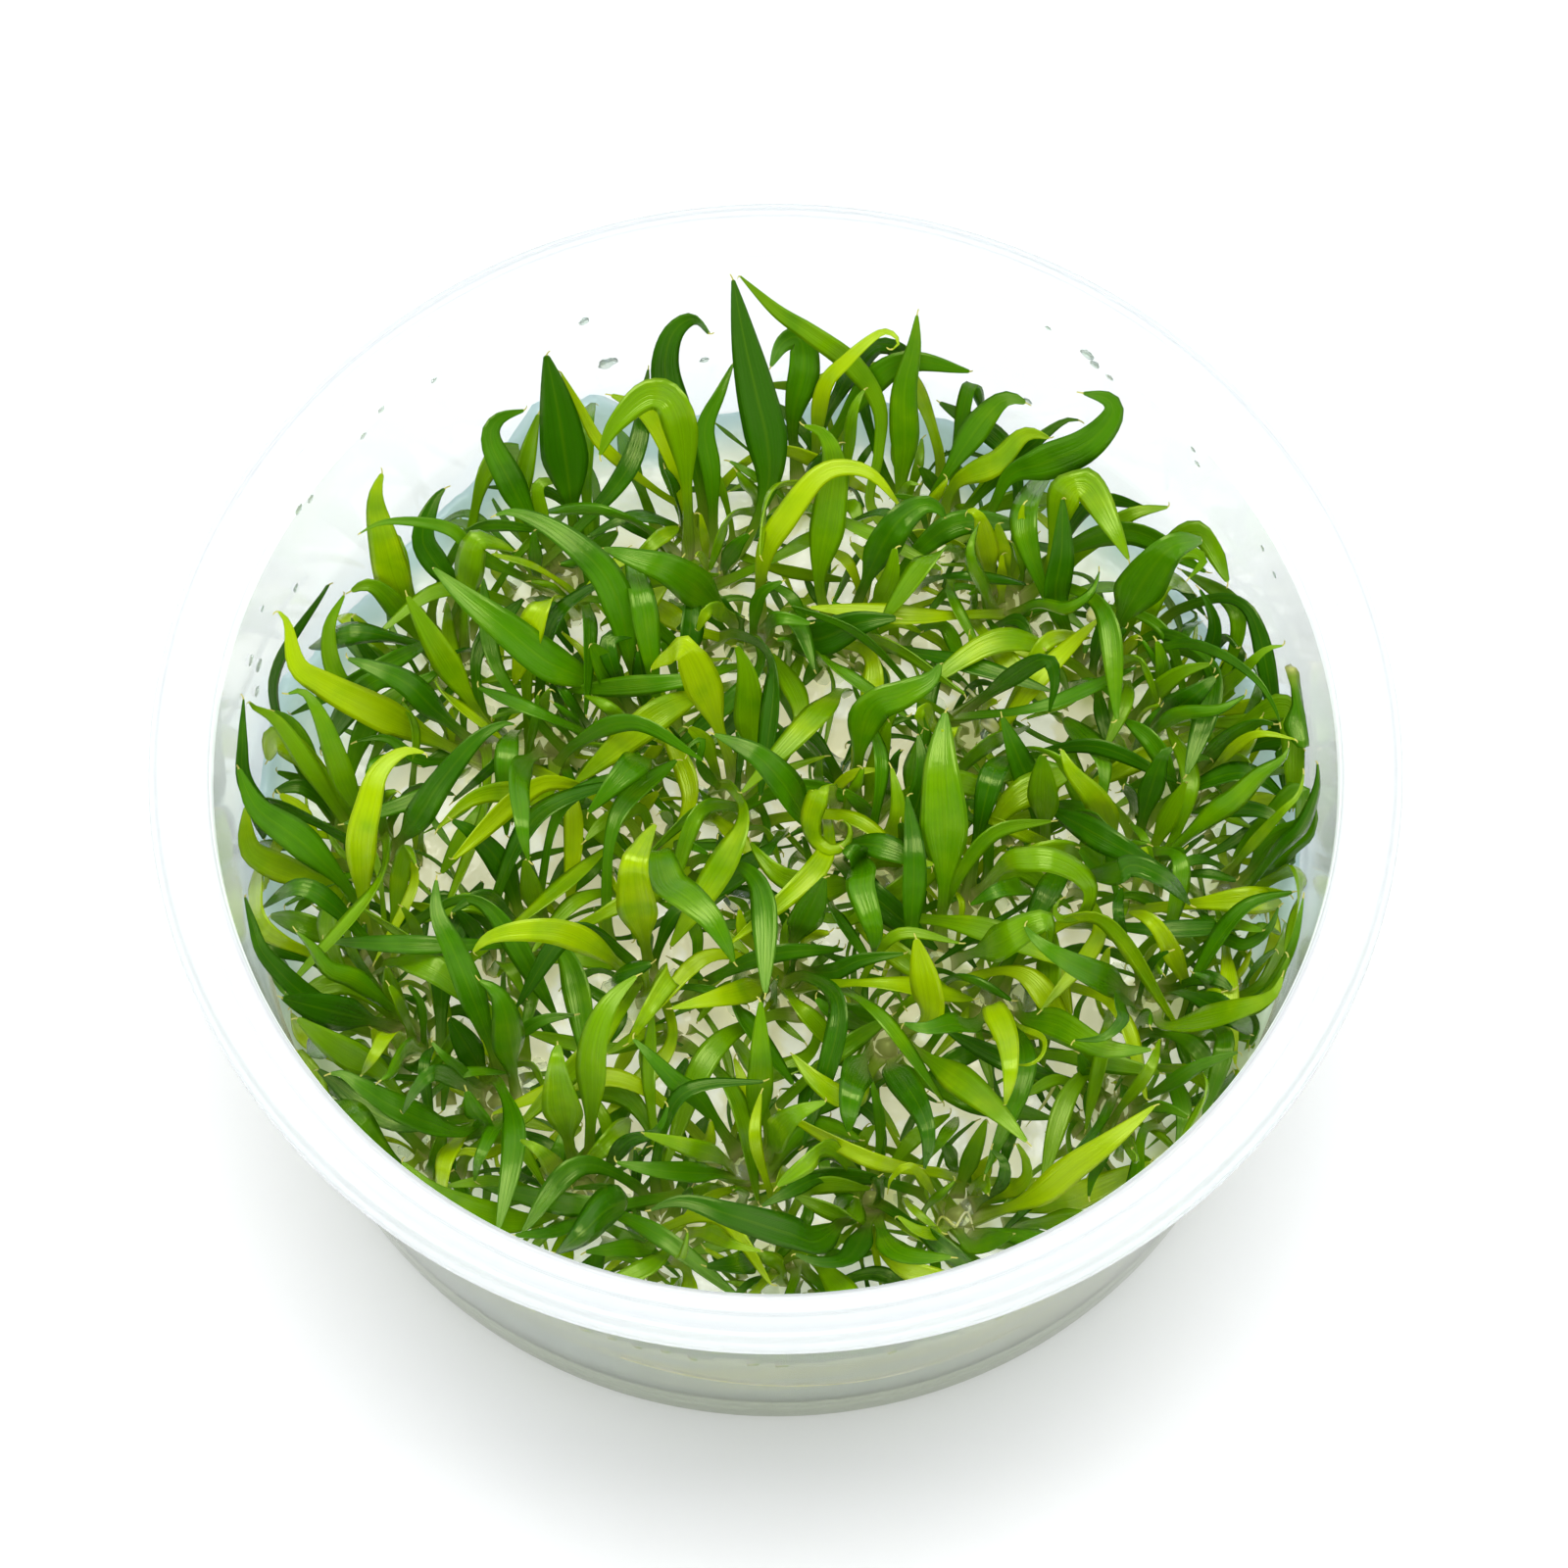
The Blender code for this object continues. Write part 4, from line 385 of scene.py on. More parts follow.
# Pale roots and other strands: radius, then points on the plan with heights
ROOTS = (
    (0.16, (22.3, -22.8, 22.5), (23.3, -24.5, 22.0), (23.0, -26.0, 21.0), (21.5, -27.5, 20.3)),
    (0.14, (24.0, -22.5, 22.5), (24.6, -24.5, 22.0), (25.4, -26.6, 21.0)),
    (0.15, (22.6, -23.0, 22.6), (21.5, -25.0, 22.0), (20.0, -27.0, 20.5)),
    (0.13, (-16.5, -33.0, 21.0), (-17.6, -32.0, 20.8), (-18.4, -33.2, 20.3)),
    (0.13, (-16.5, -33.0, 21.0), (-15.4, -32.2, 21.0), (-14.7, -33.4, 20.3)),
    (0.14, (14.3, -35.5, 21.5), (15.2, -34.2, 21.6), (15.8, -35.9, 20.8)),
    (0.14, (14.3, -35.5, 21.5), (13.2, -34.6, 21.4), (12.6, -36.0, 20.6)),
    (0.15, (33.0, 2.5, 25.0), (34.2, 3.2, 25.0), (34.4, 1.8, 24.4), (33.4, 1.4, 24.0)),
    (0.16, (38.5, -9.0, 25.0), (39.6, -8.2, 25.4), (39.9, -9.8, 24.6)),
    (0.2, (15.3, 12.0, 24.0), (16.4, 10.8, 25.0), (17.0, 9.8, 24.6)),
    (0.17, (6.5, 13.5, 22.0), (4.0, 15.0, 21.4), (1.0, 14.6, 20.8)),
    (0.15, (-8.0, 5.0, 21.5), (-10.5, 3.4, 21.0), (-13.0, 3.6, 20.6), (-15.0, 2.2, 20.3)),
)
# Pale husks: x, y and height on the plan, and size
HUSKS = ((17.6, 8.2, 25.0, 0.9), (18.0, 6.8, 24.6, 0.75), (14.0, 14.0, 24.0, 1.0), (9.5, 15.6, 24.0, 0.9),
         (21.0, 16.5, 23.5, 0.8), (26.5, 18.0, 23.5, 1.0), (28.0, 16.8, 23.0, 0.8))
# A pale streak on the near wall: radius, then azimuths in degrees with heights
WALL_STREAK = (0.26, (-107, 14.6), (-98, 13.2), (-88, 12.0), (-78, 11.4), (-68, 11.6), (-62, 12.4))

# Where the jelly's torn edge reaches on the wall: azimuth in degrees and height
WALL_EDGE = (
    (-180, 22.0), (-165, 20.0), (-120, 19.6), (-60, 19.8), (-20, 21.5), (-8, 23.7), (1, 25.1), (12, 23.3),
    (18, 26.0), (24, 21.3), (32, 19.0), (40, 19.3), (44, 20.0), (49, 20.7), (54, 23.3), (59, 25.7),
    (65, 20.8), (67, 21.9), (78, 22.6), (84, 22.2), (89, 19.4), (94, 19.3), (100, 19.6), (105, 21.1),
    (111, 26.7), (118, 28.9), (124, 22.9), (133, 21.5), (143, 19.9), (155, 22.5), (162, 26.8), (173, 24.0),
    (180, 22.0),
)
LEAST_EDGE_Z = 19.3
# Drops on the wall: azimuth in degrees, height and size
WALL_DROPS = (
    (109, 30.6, 0.8), (111, 37.7, 0.5), (98, 27.7, 0.4), (55, 41.0, 0.6), (54, 40.2, 0.5), (52, 39.7, 0.35),
    (51, 37.4, 0.4), (61, 29.6, 0.4), (60, 41.5, 0.3), (136, 41.8, 0.4), (139, 40.6, 0.35), (24, 28.8, 0.4),
    (24, 37.8, 0.3), (150, 41.2, 0.5), (148, 40.4, 0.4), (165, 35.5, 0.5), (164, 33.2, 0.6), (166, 31.3, 0.5),
    (154, 32.8, 0.4), (40, 39.4, 0.3), (39, 38.2, 0.3), (129, 40.1, 0.3), (27, 38.4, 0.3), (160, 37.4, 0.3),
)
# Blobs of clear jelly on the bed: x and y on the plan, height and size
CLEAR_BLOBS = (
    (-13.8, 1.8, 22.0, 1.0), (-3.0, -7.5, 22.0, 1.1), (9.5, -8.8, 21.0, 0.7), (-2.2, -6.4, 21.5, 0.6),
    (17.6, 7.4, 24.0, 0.7), (14.2, 13.8, 23.0, 0.8), (-28.0, 14.0, 24.0, 0.7), (5.0, 4.0, 20.5, 1.6),
    (8.0, 6.0, 20.3, 1.4), (2.0, 7.0, 20.4, 1.2), (-20.0, -12.0, 20.6, 1.3), (20.0, -16.0, 20.5, 1.3),
)
LUMP_ROWS = 7

# Light and camera
LIT_SPOT = (0.0, 0.0, 0.02)
FLOOR_CORNERS = ((-900, -700, 0), (900, -700, 0), (900, 1100, 0), (-900, 1100, 0))
LENS = 136.56
SENSOR = 36.0
AIM = Vector((0.676, 0.0, 36.60))


def at(radius, angle, z):
    """x, y and z of the point at an angle round the middle, in radians."""
    return radius * math.cos(angle), radius * math.sin(angle), z


def wall_radius(z):
    """Outer radius of the cup's wall at height z."""
    return BASE_RADIUS + (WALL_TOP_RADIUS - BASE_RADIUS) * z / WALL_TOP_Z


def in_wall(angle, z, depth):
    """The point at an angle and a height that lies this far in from the wall's inner face."""
    return at(wall_radius(z) - WALL - depth, angle, z)


def jelly_top(x, y):
    """Height of the jelly's uneven top."""
    return (JELLY_Z + 0.45 * math.sin(0.21 * x + 1.3) * math.cos(0.17 * y - 0.6)
            + 0.3 * math.sin(0.4 * y + 0.2 * x))


def in_sight(x, y, z):
    """The point at height z that looks from EYE to be at x, y on the plan."""
    seen = Vector((x, y, PLAN_Z))
    return seen + (EYE - seen) * ((z - PLAN_Z) / (EYE.z - PLAN_Z))


def smooth(low, high, value):
    """0 at low, 1 at high, and an even S between them."""
    t = min(max((value - low) / (high - low), 0.0), 1.0)
    return t * t * (3 - 2 * t)


def nearest(crowns, point):
    """The number of the crown that is nearest to a point, seen from above."""
    return min(range(len(crowns)), key=lambda i: (crowns[i].xy - point.xy).length)


# The leaves' places, worked out as in the solids

def inside_cup(point, margin):
    """The point, moved in from the wall and up from the jelly where it comes too near them."""
    limit = (wall_radius(point.z) - WALL) * math.cos(math.pi / CUP_SEGMENTS) - margin
    reach = math.hypot(point.x, point.y)
    if reach > limit:
        point = Vector((point.x * limit / reach, point.y * limit / reach, point.z))
    floor = jelly_top(point.x, point.y) + margin
    return Vector((point.x, point.y, max(point.z, floor)))


def smooth_line(points, count):
    """Evenly spaced points on a smooth curve through the given ones."""
    padded = [2 * points[0] - points[1], *points, 2 * points[-1] - points[-2]]
    fine = []
    for a, b, c, d in zip(padded, padded[1:], padded[2:], padded[3:]):
        for step in range(8):
            t = step / 8
            fine.append(0.5 * (2 * b + (c - a) * t + (2 * a - 5 * b + 4 * c - d) * t * t
                               + (3 * b - a - 3 * c + d) * t ** 3))
    fine.append(points[-1])
    lengths = [0.0]
    for a, b in zip(fine, fine[1:]):
        lengths.append(lengths[-1] + (b - a).length)
    line = []
    place = 0
    for step in range(count):
        wanted = lengths[-1] * step / (count - 1)
        while place < len(fine) - 2 and lengths[place + 1] < wanted:
            place += 1
        span = lengths[place + 1] - lengths[place]
        line.append(fine[place].lerp(fine[place + 1], (wanted - lengths[place]) / span))
    return line


def round_crown(crown, angle, radius, rise):
    return crown + Vector(at(radius, angle, rise))


def leaf_line(crown, side, leaf, rise):
    """The leaf's middle line from its crown's side to its tip, its heights changed by rise."""
    _, mid_z, tip_z, *points = leaf
    mid_z += rise[0]
    tip_z = min(tip_z + rise[1], TIP_CEILING)
    foot = round_crown(crown, side, CORNER_RADIUS, KEEL_RISE / 2 + CORNER_RISE / 2)
    runs = [math.dist(foot.xy, in_sight(*points[0][:2], foot.z + 2).xy)]
    for a, b in zip(points, points[1:]):
        runs.append(runs[-1] + math.dist(a[:2], b[:2]))
    bend_z = 2 * mid_z - (foot.z + tip_z) / 2
    line = [foot]
    for point, run in zip(points, runs):
        t = run / runs[-1]
        z = (1 - t) ** 2 * foot.z + 2 * t * (1 - t) * bend_z + t * t * tip_z
        if len(point) == 3:
            z = point[2] + rise[1]
        place = inside_cup(in_sight(point[0], point[1], min(z, TIP_CEILING)), LINE_MARGIN)
        if (place.xy - crown.xy).length > CLEAR_OF_CROWN or point is points[-1]:
            line.append(place)
    return line


def turning(line):
    """How far the line bends from end to end, in radians."""
    steps = [b - a for a, b in zip(line, line[1:])]
    return sum(a.angle(b, 0.0) for a, b in zip(steps, steps[1:]))


def broad_side(across, along, place):
    """The way across a section whose face is turned to EYE, on the same side as the last section's."""
    broad = along.cross((EYE - place).normalized())
    return -broad if broad.dot(across) < 0.0 else broad


def taper(t):
    """How the leaf draws in to its point."""
    return math.sqrt(max(0.0, 1.0 - max(0.0, (t - 0.6) / 0.4) ** 1.7))


def leaf_rings(line, width, roll, across, swell=0.0):
    """The coarse leaf's sections, which tell whether a leaf passes clear of the others."""
    sections = LEAST_SECTIONS + round(turning(line) / BEND_PER_SECTION)
    middle = smooth_line(line, sections + 1)
    stalk = min(PETIOLE_WIDTH, 0.7 * width)
    rings = []
    for i in range(1, sections):
        t = i / sections
        along = (middle[i + 1] - middle[i - 1]).normalized()
        across = BROAD_EASE * across.normalized() + broad_side(across, along, middle[i])
        across = (across - along * across.dot(along)).normalized()
        normal = across.cross(along)
        share = smooth(0.25, 0.6, t)
        half = (stalk + (width - stalk) * share) * taper(t) / 2 + swell
        depth = (PETIOLE_DEPTH + (BLADE_DEPTH - PETIOLE_DEPTH) * share) * taper(t) + swell
        right = across * math.cos(roll * share) + normal * math.sin(roll * share)
        down = along.cross(right)
        ring = [middle[i] + right * half, middle[i] - right * half, middle[i] + down * depth]
        if swell:
            ring.insert(1, middle[i] - down * swell)
        rings.append([inside_cup(corner, GAP) for corner in ring])
    return rings, middle[-1]


def leaf_tree(rings, tip):
    """A tree of the faces between a leaf's rings and its tip, and whether they cross one another."""
    side = len(rings[0])
    vertices = [corner for ring in rings for corner in ring] + [tip]
    numbers = [range(side * i, side * (i + 1)) for i in range(len(rings))]
    faces = []
    for low, high in zip(numbers, numbers[1:]):
        for k in range(side):
            other = (k + 1) % side
            faces += [(low[other], low[k], high[k]), (low[other], high[k], high[other])]
    faces.append(tuple(numbers[0]))
    faces += [(numbers[-1][k], numbers[-1][k - 1], len(vertices) - 1) for k in range(side)]
    tree = BVHTree.FromPolygons(vertices, faces)
    crossed = any(not set(faces[i]) & set(faces[j]) for i, j in tree.overlap(tree))
    return tree, crossed


def leaf_owner(crowns, leaf):
    """The number of the crown that lies nearest behind the leaf's foot."""
    foot, beyond = (in_sight(*point[:2], JELLY_Z + FOOT_RISE) for point in leaf[3:5])
    return nearest(crowns, foot - (beyond - foot).normalized() * FOOT_RISE)


def leaf_azimuth(crown, leaf):
    """The angle round its crown at which the leaf grows."""
    for point in leaf[3:]:
        heading = in_sight(*point[:2], JELLY_Z + FOOT_RISE).xy - crown.xy
        if heading.length > CLEAR_OF_CROWN:
            break
    return math.atan2(heading.y, heading.x)


def crown_sides(crown, leaves):
    """The angle of each side of a crown, and which leaf grows from it: a leaf's number or None."""
    places = sorted((leaf_azimuth(crown, LEAVES[number]), number) for number in leaves)
    while len(places) < CROWN_SIDES:
        turns = [b[0] - a[0] for a, b in zip(places, places[1:])]
        turns.append(places[0][0] + math.tau - places[-1][0])
        widest = turns.index(max(turns))
        places.insert(widest + 1, (places[widest][0] + turns[widest] / 2, None))
    step = math.tau / len(places)
    drift = [azimuth - step * i for i, (azimuth, _) in enumerate(places)]
    start = math.atan2(sum(map(math.sin, drift)), sum(map(math.cos, drift)))
    return [(start + step * i, number) for i, (_, number) in enumerate(places)]


def crown_rings(crown, sides):
    half = math.pi / len(sides)
    corners = [round_crown(crown, angle - half, CORNER_RADIUS, CORNER_RISE) for angle, _ in sides]
    keels = [round_crown(crown, angle, KEEL_RADIUS, KEEL_RISE) for angle, _ in sides]
    return corners, keels


def leaf_base(crown, sides, number):
    """The ring on the crown's side that the leaf grows from."""
    corners, keels = crown_rings(crown, sides)
    i = [grown for _, grown in sides].index(number)
    return [corners[i], corners[(i + 1) % len(sides)], keels[i]]


def free_base(crown, angle):
    """A narrow foot on the crown in the leaf's own direction."""
    places = ((angle - 0.4, CORNER_RISE), (angle + 0.4, CORNER_RISE), (angle, KEEL_RISE))
    return [round_crown(crown, turn, 1.0, rise) for turn, rise in places]


def crown_tree(crown, sides):
    corners, keels = crown_rings(crown, sides)
    count = len(sides)
    faces = [tuple(range(count)), tuple(range(count, 2 * count))]
    for i in range(count):
        after = (i + 1) % count
        faces += [(i, after, count + i), (count + i, after, count + after)]
    return BVHTree.FromPolygons(corners + keels, faces)


def rises():
    """Changes of height to try, half-way and at the tip, the smallest first."""
    steps = (0, 1.2, -1.2, 2.4, -2.4, 3.6, -3.6, 5, -5, 7, -7)
    pairs = [(mid, tip) for mid in steps for tip in steps if abs(mid - tip) < 6]
    return sorted(pairs, key=lambda pair: abs(pair[0]) + abs(pair[1]))


def clear_leaf(home, base, leaf, roll, line, settled):
    """The line with trees of the leaf with and without its foot; None if it touches anything."""
    width = leaf[0]
    right, left, keel = base
    rings, tip = leaf_rings(line, width, roll, right - left)
    whole, crossed = leaf_tree([base] + rings, tip)
    if crossed:
        return None
    foot = [right, (right + left) / 2, left, keel]
    near, _ = leaf_rings(line, width, roll, right - left, OWN_GAP)
    far, _ = leaf_rings(line, width, roll, right - left, GAP)
    near_blade, _ = leaf_tree(near, tip)
    near_whole, _ = leaf_tree([foot] + near, tip)
    far_whole, _ = leaf_tree([foot] + far, tip)
    for owner, other_whole, other_blade in settled:
        if owner != home and far_whole.overlap(other_whole):
            return None
        if owner == home and near_blade.overlap(other_whole):
            return None
        if owner == home and other_blade is not None and near_whole.overlap(other_blade):
            return None
    blade, _ = leaf_tree(rings, tip)
    return line, whole, blade


def settle_leaves(crowns, sides):
    """Each leaf as (home crown, middle line, width, roll, first across), clear of the ones before it."""
    homes = {number: (i, angle) for i, group in enumerate(sides) for angle, number in group}
    settled = [(i, crown_tree(crown, group), None) for i, (crown, group) in enumerate(zip(crowns, sides))]
    grown = []
    for number, leaf in enumerate(LEAVES + SMALL_LEAVES):
        solid = number < len(LEAVES)
        if solid:
            home, angle = homes[number]
            base = leaf_base(crowns[home], sides[home], number)
            roll = LEAF_ROLL * math.sin(2.4 * number)
            among, others = home, settled
        else:
            home = leaf_owner(crowns, leaf)
            angle = leaf_azimuth(crowns[home], leaf)
            base = free_base(crowns[home], angle)
            roll = LEAF_ROLL * math.sin(1.9 * (number - len(LEAVES)))
            among, others = -1, settled[len(crowns):]
        lines = [leaf_line(crowns[home], angle, leaf, rise) for rise in rises()]
        tries = (clear_leaf(among, base, leaf, roll, line, others) for line in lines)
        found = next((found for found in tries if found), None)
        if found:
            settled.append((home if solid else -2, found[1], found[2]))
        line = found[0] if found else lines[0]
        grown.append((home, line, leaf[0], roll, base[0] - base[1], number))
    return grown, settled


def finish_curls(crowns, grown):
    """Adds the curled ends, the scrap on the wall and the leaves pressed against it."""
    for number, ends in CURLED_ENDS.items():
        grown[number][1].extend(in_sight(*point) for point in ends)
    width, points = WALL_SCRAP
    line = [inside_cup(in_sight(*point), 0.6) for point in points]
    grown.append((nearest(crowns, line[-1]), line, width, 0.2, Vector((0.0, 0.3, 1.0)), len(grown)))
    for azimuth in range(*PRESSED_LEAVES):
        slant = random.choice((-1.0, 1.0)) * random.uniform(3.0, 8.0)
        low = JELLY_Z - 0.2 + random.uniform(0.0, 2.5)
        rise = random.uniform(0.5, 4.0)
        line = [Vector(in_wall(math.radians(azimuth + slant * k / 2.0), low + rise * math.sin(k / 2.5), 0.5))
                for k in range(5)]
        grown.append((nearest(crowns, line[0]), line, random.uniform(1.8, 3.2), 0.2, UP, len(grown)))


def young_leaf(crown, ranges):
    """A young leaf's middle line, width, roll and foot, drawn at random."""
    reaches, tops, widths, droops = ranges
    angle = random.uniform(-math.pi, math.pi)
    reach = random.uniform(*reaches)
    top = random.uniform(*tops)
    droop = random.uniform(*droops)
    veer = random.uniform(-1.3, 1.3)
    width = random.uniform(*widths)
    roll = random.uniform(-1.0, 1.0)
    aside = random.uniform(-math.pi, math.pi)
    away = random.uniform(0.3, SHOOT_SPREAD)
    shoot = inside_cup(round_crown(crown, aside, away, -9.0), 2.2)
    shoot.z = jelly_top(shoot.x, shoot.y) - 0.4
    line = [round_crown(shoot, angle, 0.3, 0.6)]
    for share, lift in ((0.2, 0.55), (0.55, 1.0), (1.0, 1.0 + droop)):
        heading = angle + veer * share
        away = Vector(at(1.0, heading, 0.0)) * (reach * share)
        line.append(inside_cup(shoot + away + Vector((0.0, 0.0, top * lift)), LINE_MARGIN))
    return line, width, roll, free_base(shoot, angle)


def add_fillers(crowns, grown, settled):
    """Young leaves low in each rosette, wherever they don't cross the leaves already there."""
    trees = [tree for _, tree, _ in settled]
    for count, *ranges in YOUNG_LEAVES:
        for home, crown in enumerate(crowns):
            added = 0
            for _ in range(count * TRIES_PER_LEAF):
                if added >= count:
                    break
                line, width, roll, (right, left, _) = young_leaf(crown, ranges)
                if any((b - a).length < 0.8 for a, b in zip(line, line[1:])):
                    continue
                tree, crossed = leaf_tree(*leaf_rings(line, width, roll, right - left))
                if crossed or any(tree.overlap(other) for other in trees):
                    continue
                trees.append(tree)
                grown.append((home, line, width, roll, right - left, len(grown)))
                added += 1


# Meshes

class Shape:
    """Vertices, faces and a colour for each vertex, which grow piece by piece."""

    def __init__(self):
        self.vertices, self.faces, self.values = [], [], []

    def ring(self, points, values=()):
        """Adds points and returns their numbers."""
        first = len(self.vertices)
        self.vertices += points
        self.values += values
        return range(first, len(self.vertices))

    def join(self, rings, flip=False):
        """Adds the faces between rings of numbers."""
        for low, high in zip(rings, rings[1:]):
            for k in range(len(low)):
                other = (k + 1) % len(low)
                corners = (high[k], high[other], low[other])
                self.faces.append((low[k], *(corners[::-1] if flip else corners)))

    def close(self, rings, flip=False):
        """Adds the faces between rings of numbers and over the first and last."""
        self.join(rings, flip)
        first, last = (rings[0][::-1], rings[-1]) if flip else (rings[0], rings[-1][::-1])
        self.faces += [tuple(first), tuple(last)]


def mesh_object(name, vertices, faces, materials, values=None):
    """A smooth-shaded mesh from millimetre points; values is one colour for each vertex."""
    mesh = bpy.data.meshes.new(name)
    mesh.from_pydata([Vector(vertex) * MM for vertex in vertices], [], faces)
    for made in materials:
        mesh.materials.append(made)
    mesh.polygons.foreach_set("use_smooth", [True] * len(mesh.polygons))
    if values:
        layer = mesh.color_attributes.new("leaf", "FLOAT_COLOR", "POINT")
        layer.data.foreach_set("color", [number for value in values for number in (*value, 1.0)])
    made = bpy.data.objects.new(name, mesh)
    bpy.context.scene.collection.objects.link(made)
    return made


def blade_half(t, width, stalk, late):
    """Half the fine leaf's width at t from foot to tip; late puts its widest place nearer the tip."""
    sheath = 0.4 * (1.0 - smooth(0.0, 0.2, t))
    body = stalk + (WIDEN * width - stalk) * smooth(0.16 + late, 0.46 + late, t)
    widest = 0.4 + late
    point = 1.0 - max(0.0, (t - widest) / (1 - widest)) ** 1.9
    return 0.5 * (body * point) + sheath


def tight_bend(middle, i, across):
    """The most that half the blade may be wide at a place, so that it doesn't fold on a bend."""
    ahead, behind = middle[i + 2], middle[i - 2]
    step = max((ahead - middle[i]).length, 0.01)
    sideways = (ahead - 2 * middle[i] + behind).dot(across) / (step * step)
    return 0.85 / max(abs(sideways), 1e-6)


def fine_leaf(shape, line, width, roll, across, number):
    """Adds one leaf: a thin flat blade with a low rib below, on a stout stalk, its tip drawn out to a hook.

    The number sets its tint and its small irregularities.
    """
    length = sum((b - a).length for a, b in zip(line, line[1:]))
    sections = int(min(48, max(14, length * 1.1 + turning(line) * 4)))
    middle = smooth_line(line, sections + 1)
    coarse = LEAST_SECTIONS + round(turning(line) / BEND_PER_SECTION)
    turn = (1 + 1 / BROAD_EASE) ** (coarse / sections) - 1
    stalk = min(PETIOLE_WIDTH, 0.6 * width)
    tint = (number * 0.618034) % 1.0
    wave = number * 1.7
    late = 0.09 + 0.07 * math.sin(number * 7.7) + (0.12 if number >= len(LEAVES) else 0.0)
    hook_bend = (1.1 + 0.8 * math.sin(number * 3.3)) / HOOK_RINGS
    rings = []
    for i in range(sections + HOOK_RINGS):
        t = min(i / sections, 1.0)
        if i < sections:
            centre = middle[i]
            along = (middle[i + 1] - middle[max(i - 1, 0)]).normalized()
        else:
            bend = normal * math.sin(number * 5.1) + across * math.cos(number * 5.1)
            along = (along + bend * hook_bend).normalized()
            centre = centre + along * (HOOK_LENGTH / HOOK_RINGS)
        if 0 < i < sections:
            across = across.normalized() + broad_side(across, along, centre) * turn
        across = (across - along * across.dot(along)).normalized()
        normal = across.cross(along)
        share = smooth(0.15, 0.5, t)
        half = blade_half(t, width, stalk, late)
        if 1 < i < sections - 2:
            half = min(half, tight_bend(middle, i, across))
        thick = STALK_DEPTH + (FINE_DEPTH - STALK_DEPTH) * share
        if i >= sections:
            left = 1.0 - (i - sections) / HOOK_RINGS
            half = 0.08 * left
            thick = 0.1 * left
        half = max(half, 0.06)
        hollow = 0.16 * half * (1.0 + 0.8 * math.sin(wave))
        ripple = 0.07 * half * math.sin(wave + 8 * t) * share
        right = across * math.cos(roll * share) + normal * math.sin(roll * share)
        up = right.cross(along)
        points = []
        for k, (place, height) in enumerate(SECTION):
            edge = 0.35 if k < TOP_CORNERS else 1.0
            lift = hollow * place * place + thick * height * edge + ripple * place
            point = centre + right * (half * place) + up * lift
            points.append(inside_cup(point, 0.12) if t > 0.08 else point)
        rings.append(shape.ring(points, [(t, 0.5 + 0.5 * place, tint) for place, _ in SECTION]))
    shape.join(rings)
    shape.faces.append(tuple(rings[0]))
    tip = shape.ring([centre + along * 0.1], [(1.0, 0.5, tint)])[0]
    last = rings[-1]
    shape.faces += [(last[k], tip, last[(k + 1) % len(last)]) for k in range(len(last))]


def add_crown(shape, crown, number):
    """A short swollen crown that the leaf stalks spring from, its foot in the jelly."""
    rings = []
    for rise, radius in CROWN_PROFILE:
        angles = [math.tau * k / RING_CORNERS for k in range(RING_CORNERS)]
        points = [round_crown(crown, angle, radius * (1 + 0.12 * math.sin(3 * angle + number)), rise)
                  for angle in angles]
        rings.append(shape.ring(points, [(0.0, 0.5, 0.3)] * RING_CORNERS))
    shape.close(rings, flip=True)


def placed_strands(crowns):
    """Each strand as (home crown, points, radius); a husk has a negative radius."""
    placed = [([in_sight(*point) for point in points], radius) for radius, *points in ROOTS]
    placed += [([in_sight(x, y, z), Vector((0.3, 0.2, 0.4))], -size) for x, y, z, size in HUSKS]
    radius, *points = WALL_STREAK
    placed.append(([Vector(in_wall(math.radians(azimuth), z, 0.12)) for azimuth, z in points], radius))
    return [(nearest(crowns, line[0]), line, radius) for line, radius in placed]


def add_strand(shape, line, radius):
    """A thin round strand that tapers to its end."""
    count = 6 + 3 * len(line)
    middle = smooth_line(line, count)
    rings = []
    for i, centre in enumerate(middle):
        along = (middle[min(i + 1, count - 1)] - middle[max(i - 1, 0)]).normalized()
        side = along.cross(UP).normalized()
        up = along.cross(side)
        size = radius * (1.0 - 0.75 * (i / (count - 1)) ** 2)
        turns = [math.tau * k / 6 for k in range(6)]
        rings.append(shape.ring([centre + side * (size * math.cos(turn)) + up * (size * math.sin(turn))
                                 for turn in turns]))
    shape.close(rings, flip=True)


def add_lump(shape, centre, size, squash, seed):
    """A small uneven drop; squash flattens it along the direction it is given in."""
    rings = []
    flat = squash.normalized()
    share = squash.length
    for row in range(1, LUMP_ROWS):
        slope = math.pi * row / LUMP_ROWS
        points = []
        for k in range(RING_CORNERS):
            way = Vector(at(math.sin(slope), math.tau * k / RING_CORNERS, math.cos(slope)))
            bulge = 1.0 + 0.45 * noise.noise(way * 1.7 + Vector((seed, seed * 0.7, 0.0)))
            offset = way * (size * bulge)
            offset -= flat * offset.dot(flat) * share
            points.append(centre + offset)
        rings.append(shape.ring(points))
    shape.close(rings)


def turned(start, rings, end):
    """Vertices and faces of a solid round Z, from a point on it over rings of points to another."""
    count = len(rings[0])
    vertices = [start, *(corner for ring in rings for corner in ring), end]
    last = 1 + (len(rings) - 1) * count
    faces = []
    for k in range(count):
        other = (k + 1) % count
        faces.append((0, 1 + k, 1 + other))
        for low in range(1, last, count):
            high = low + count
            faces.append((low + k, high + k, high + other, low + other))
        faces.append((last + k, len(vertices) - 1, last + other))
    return vertices, faces


# Materials

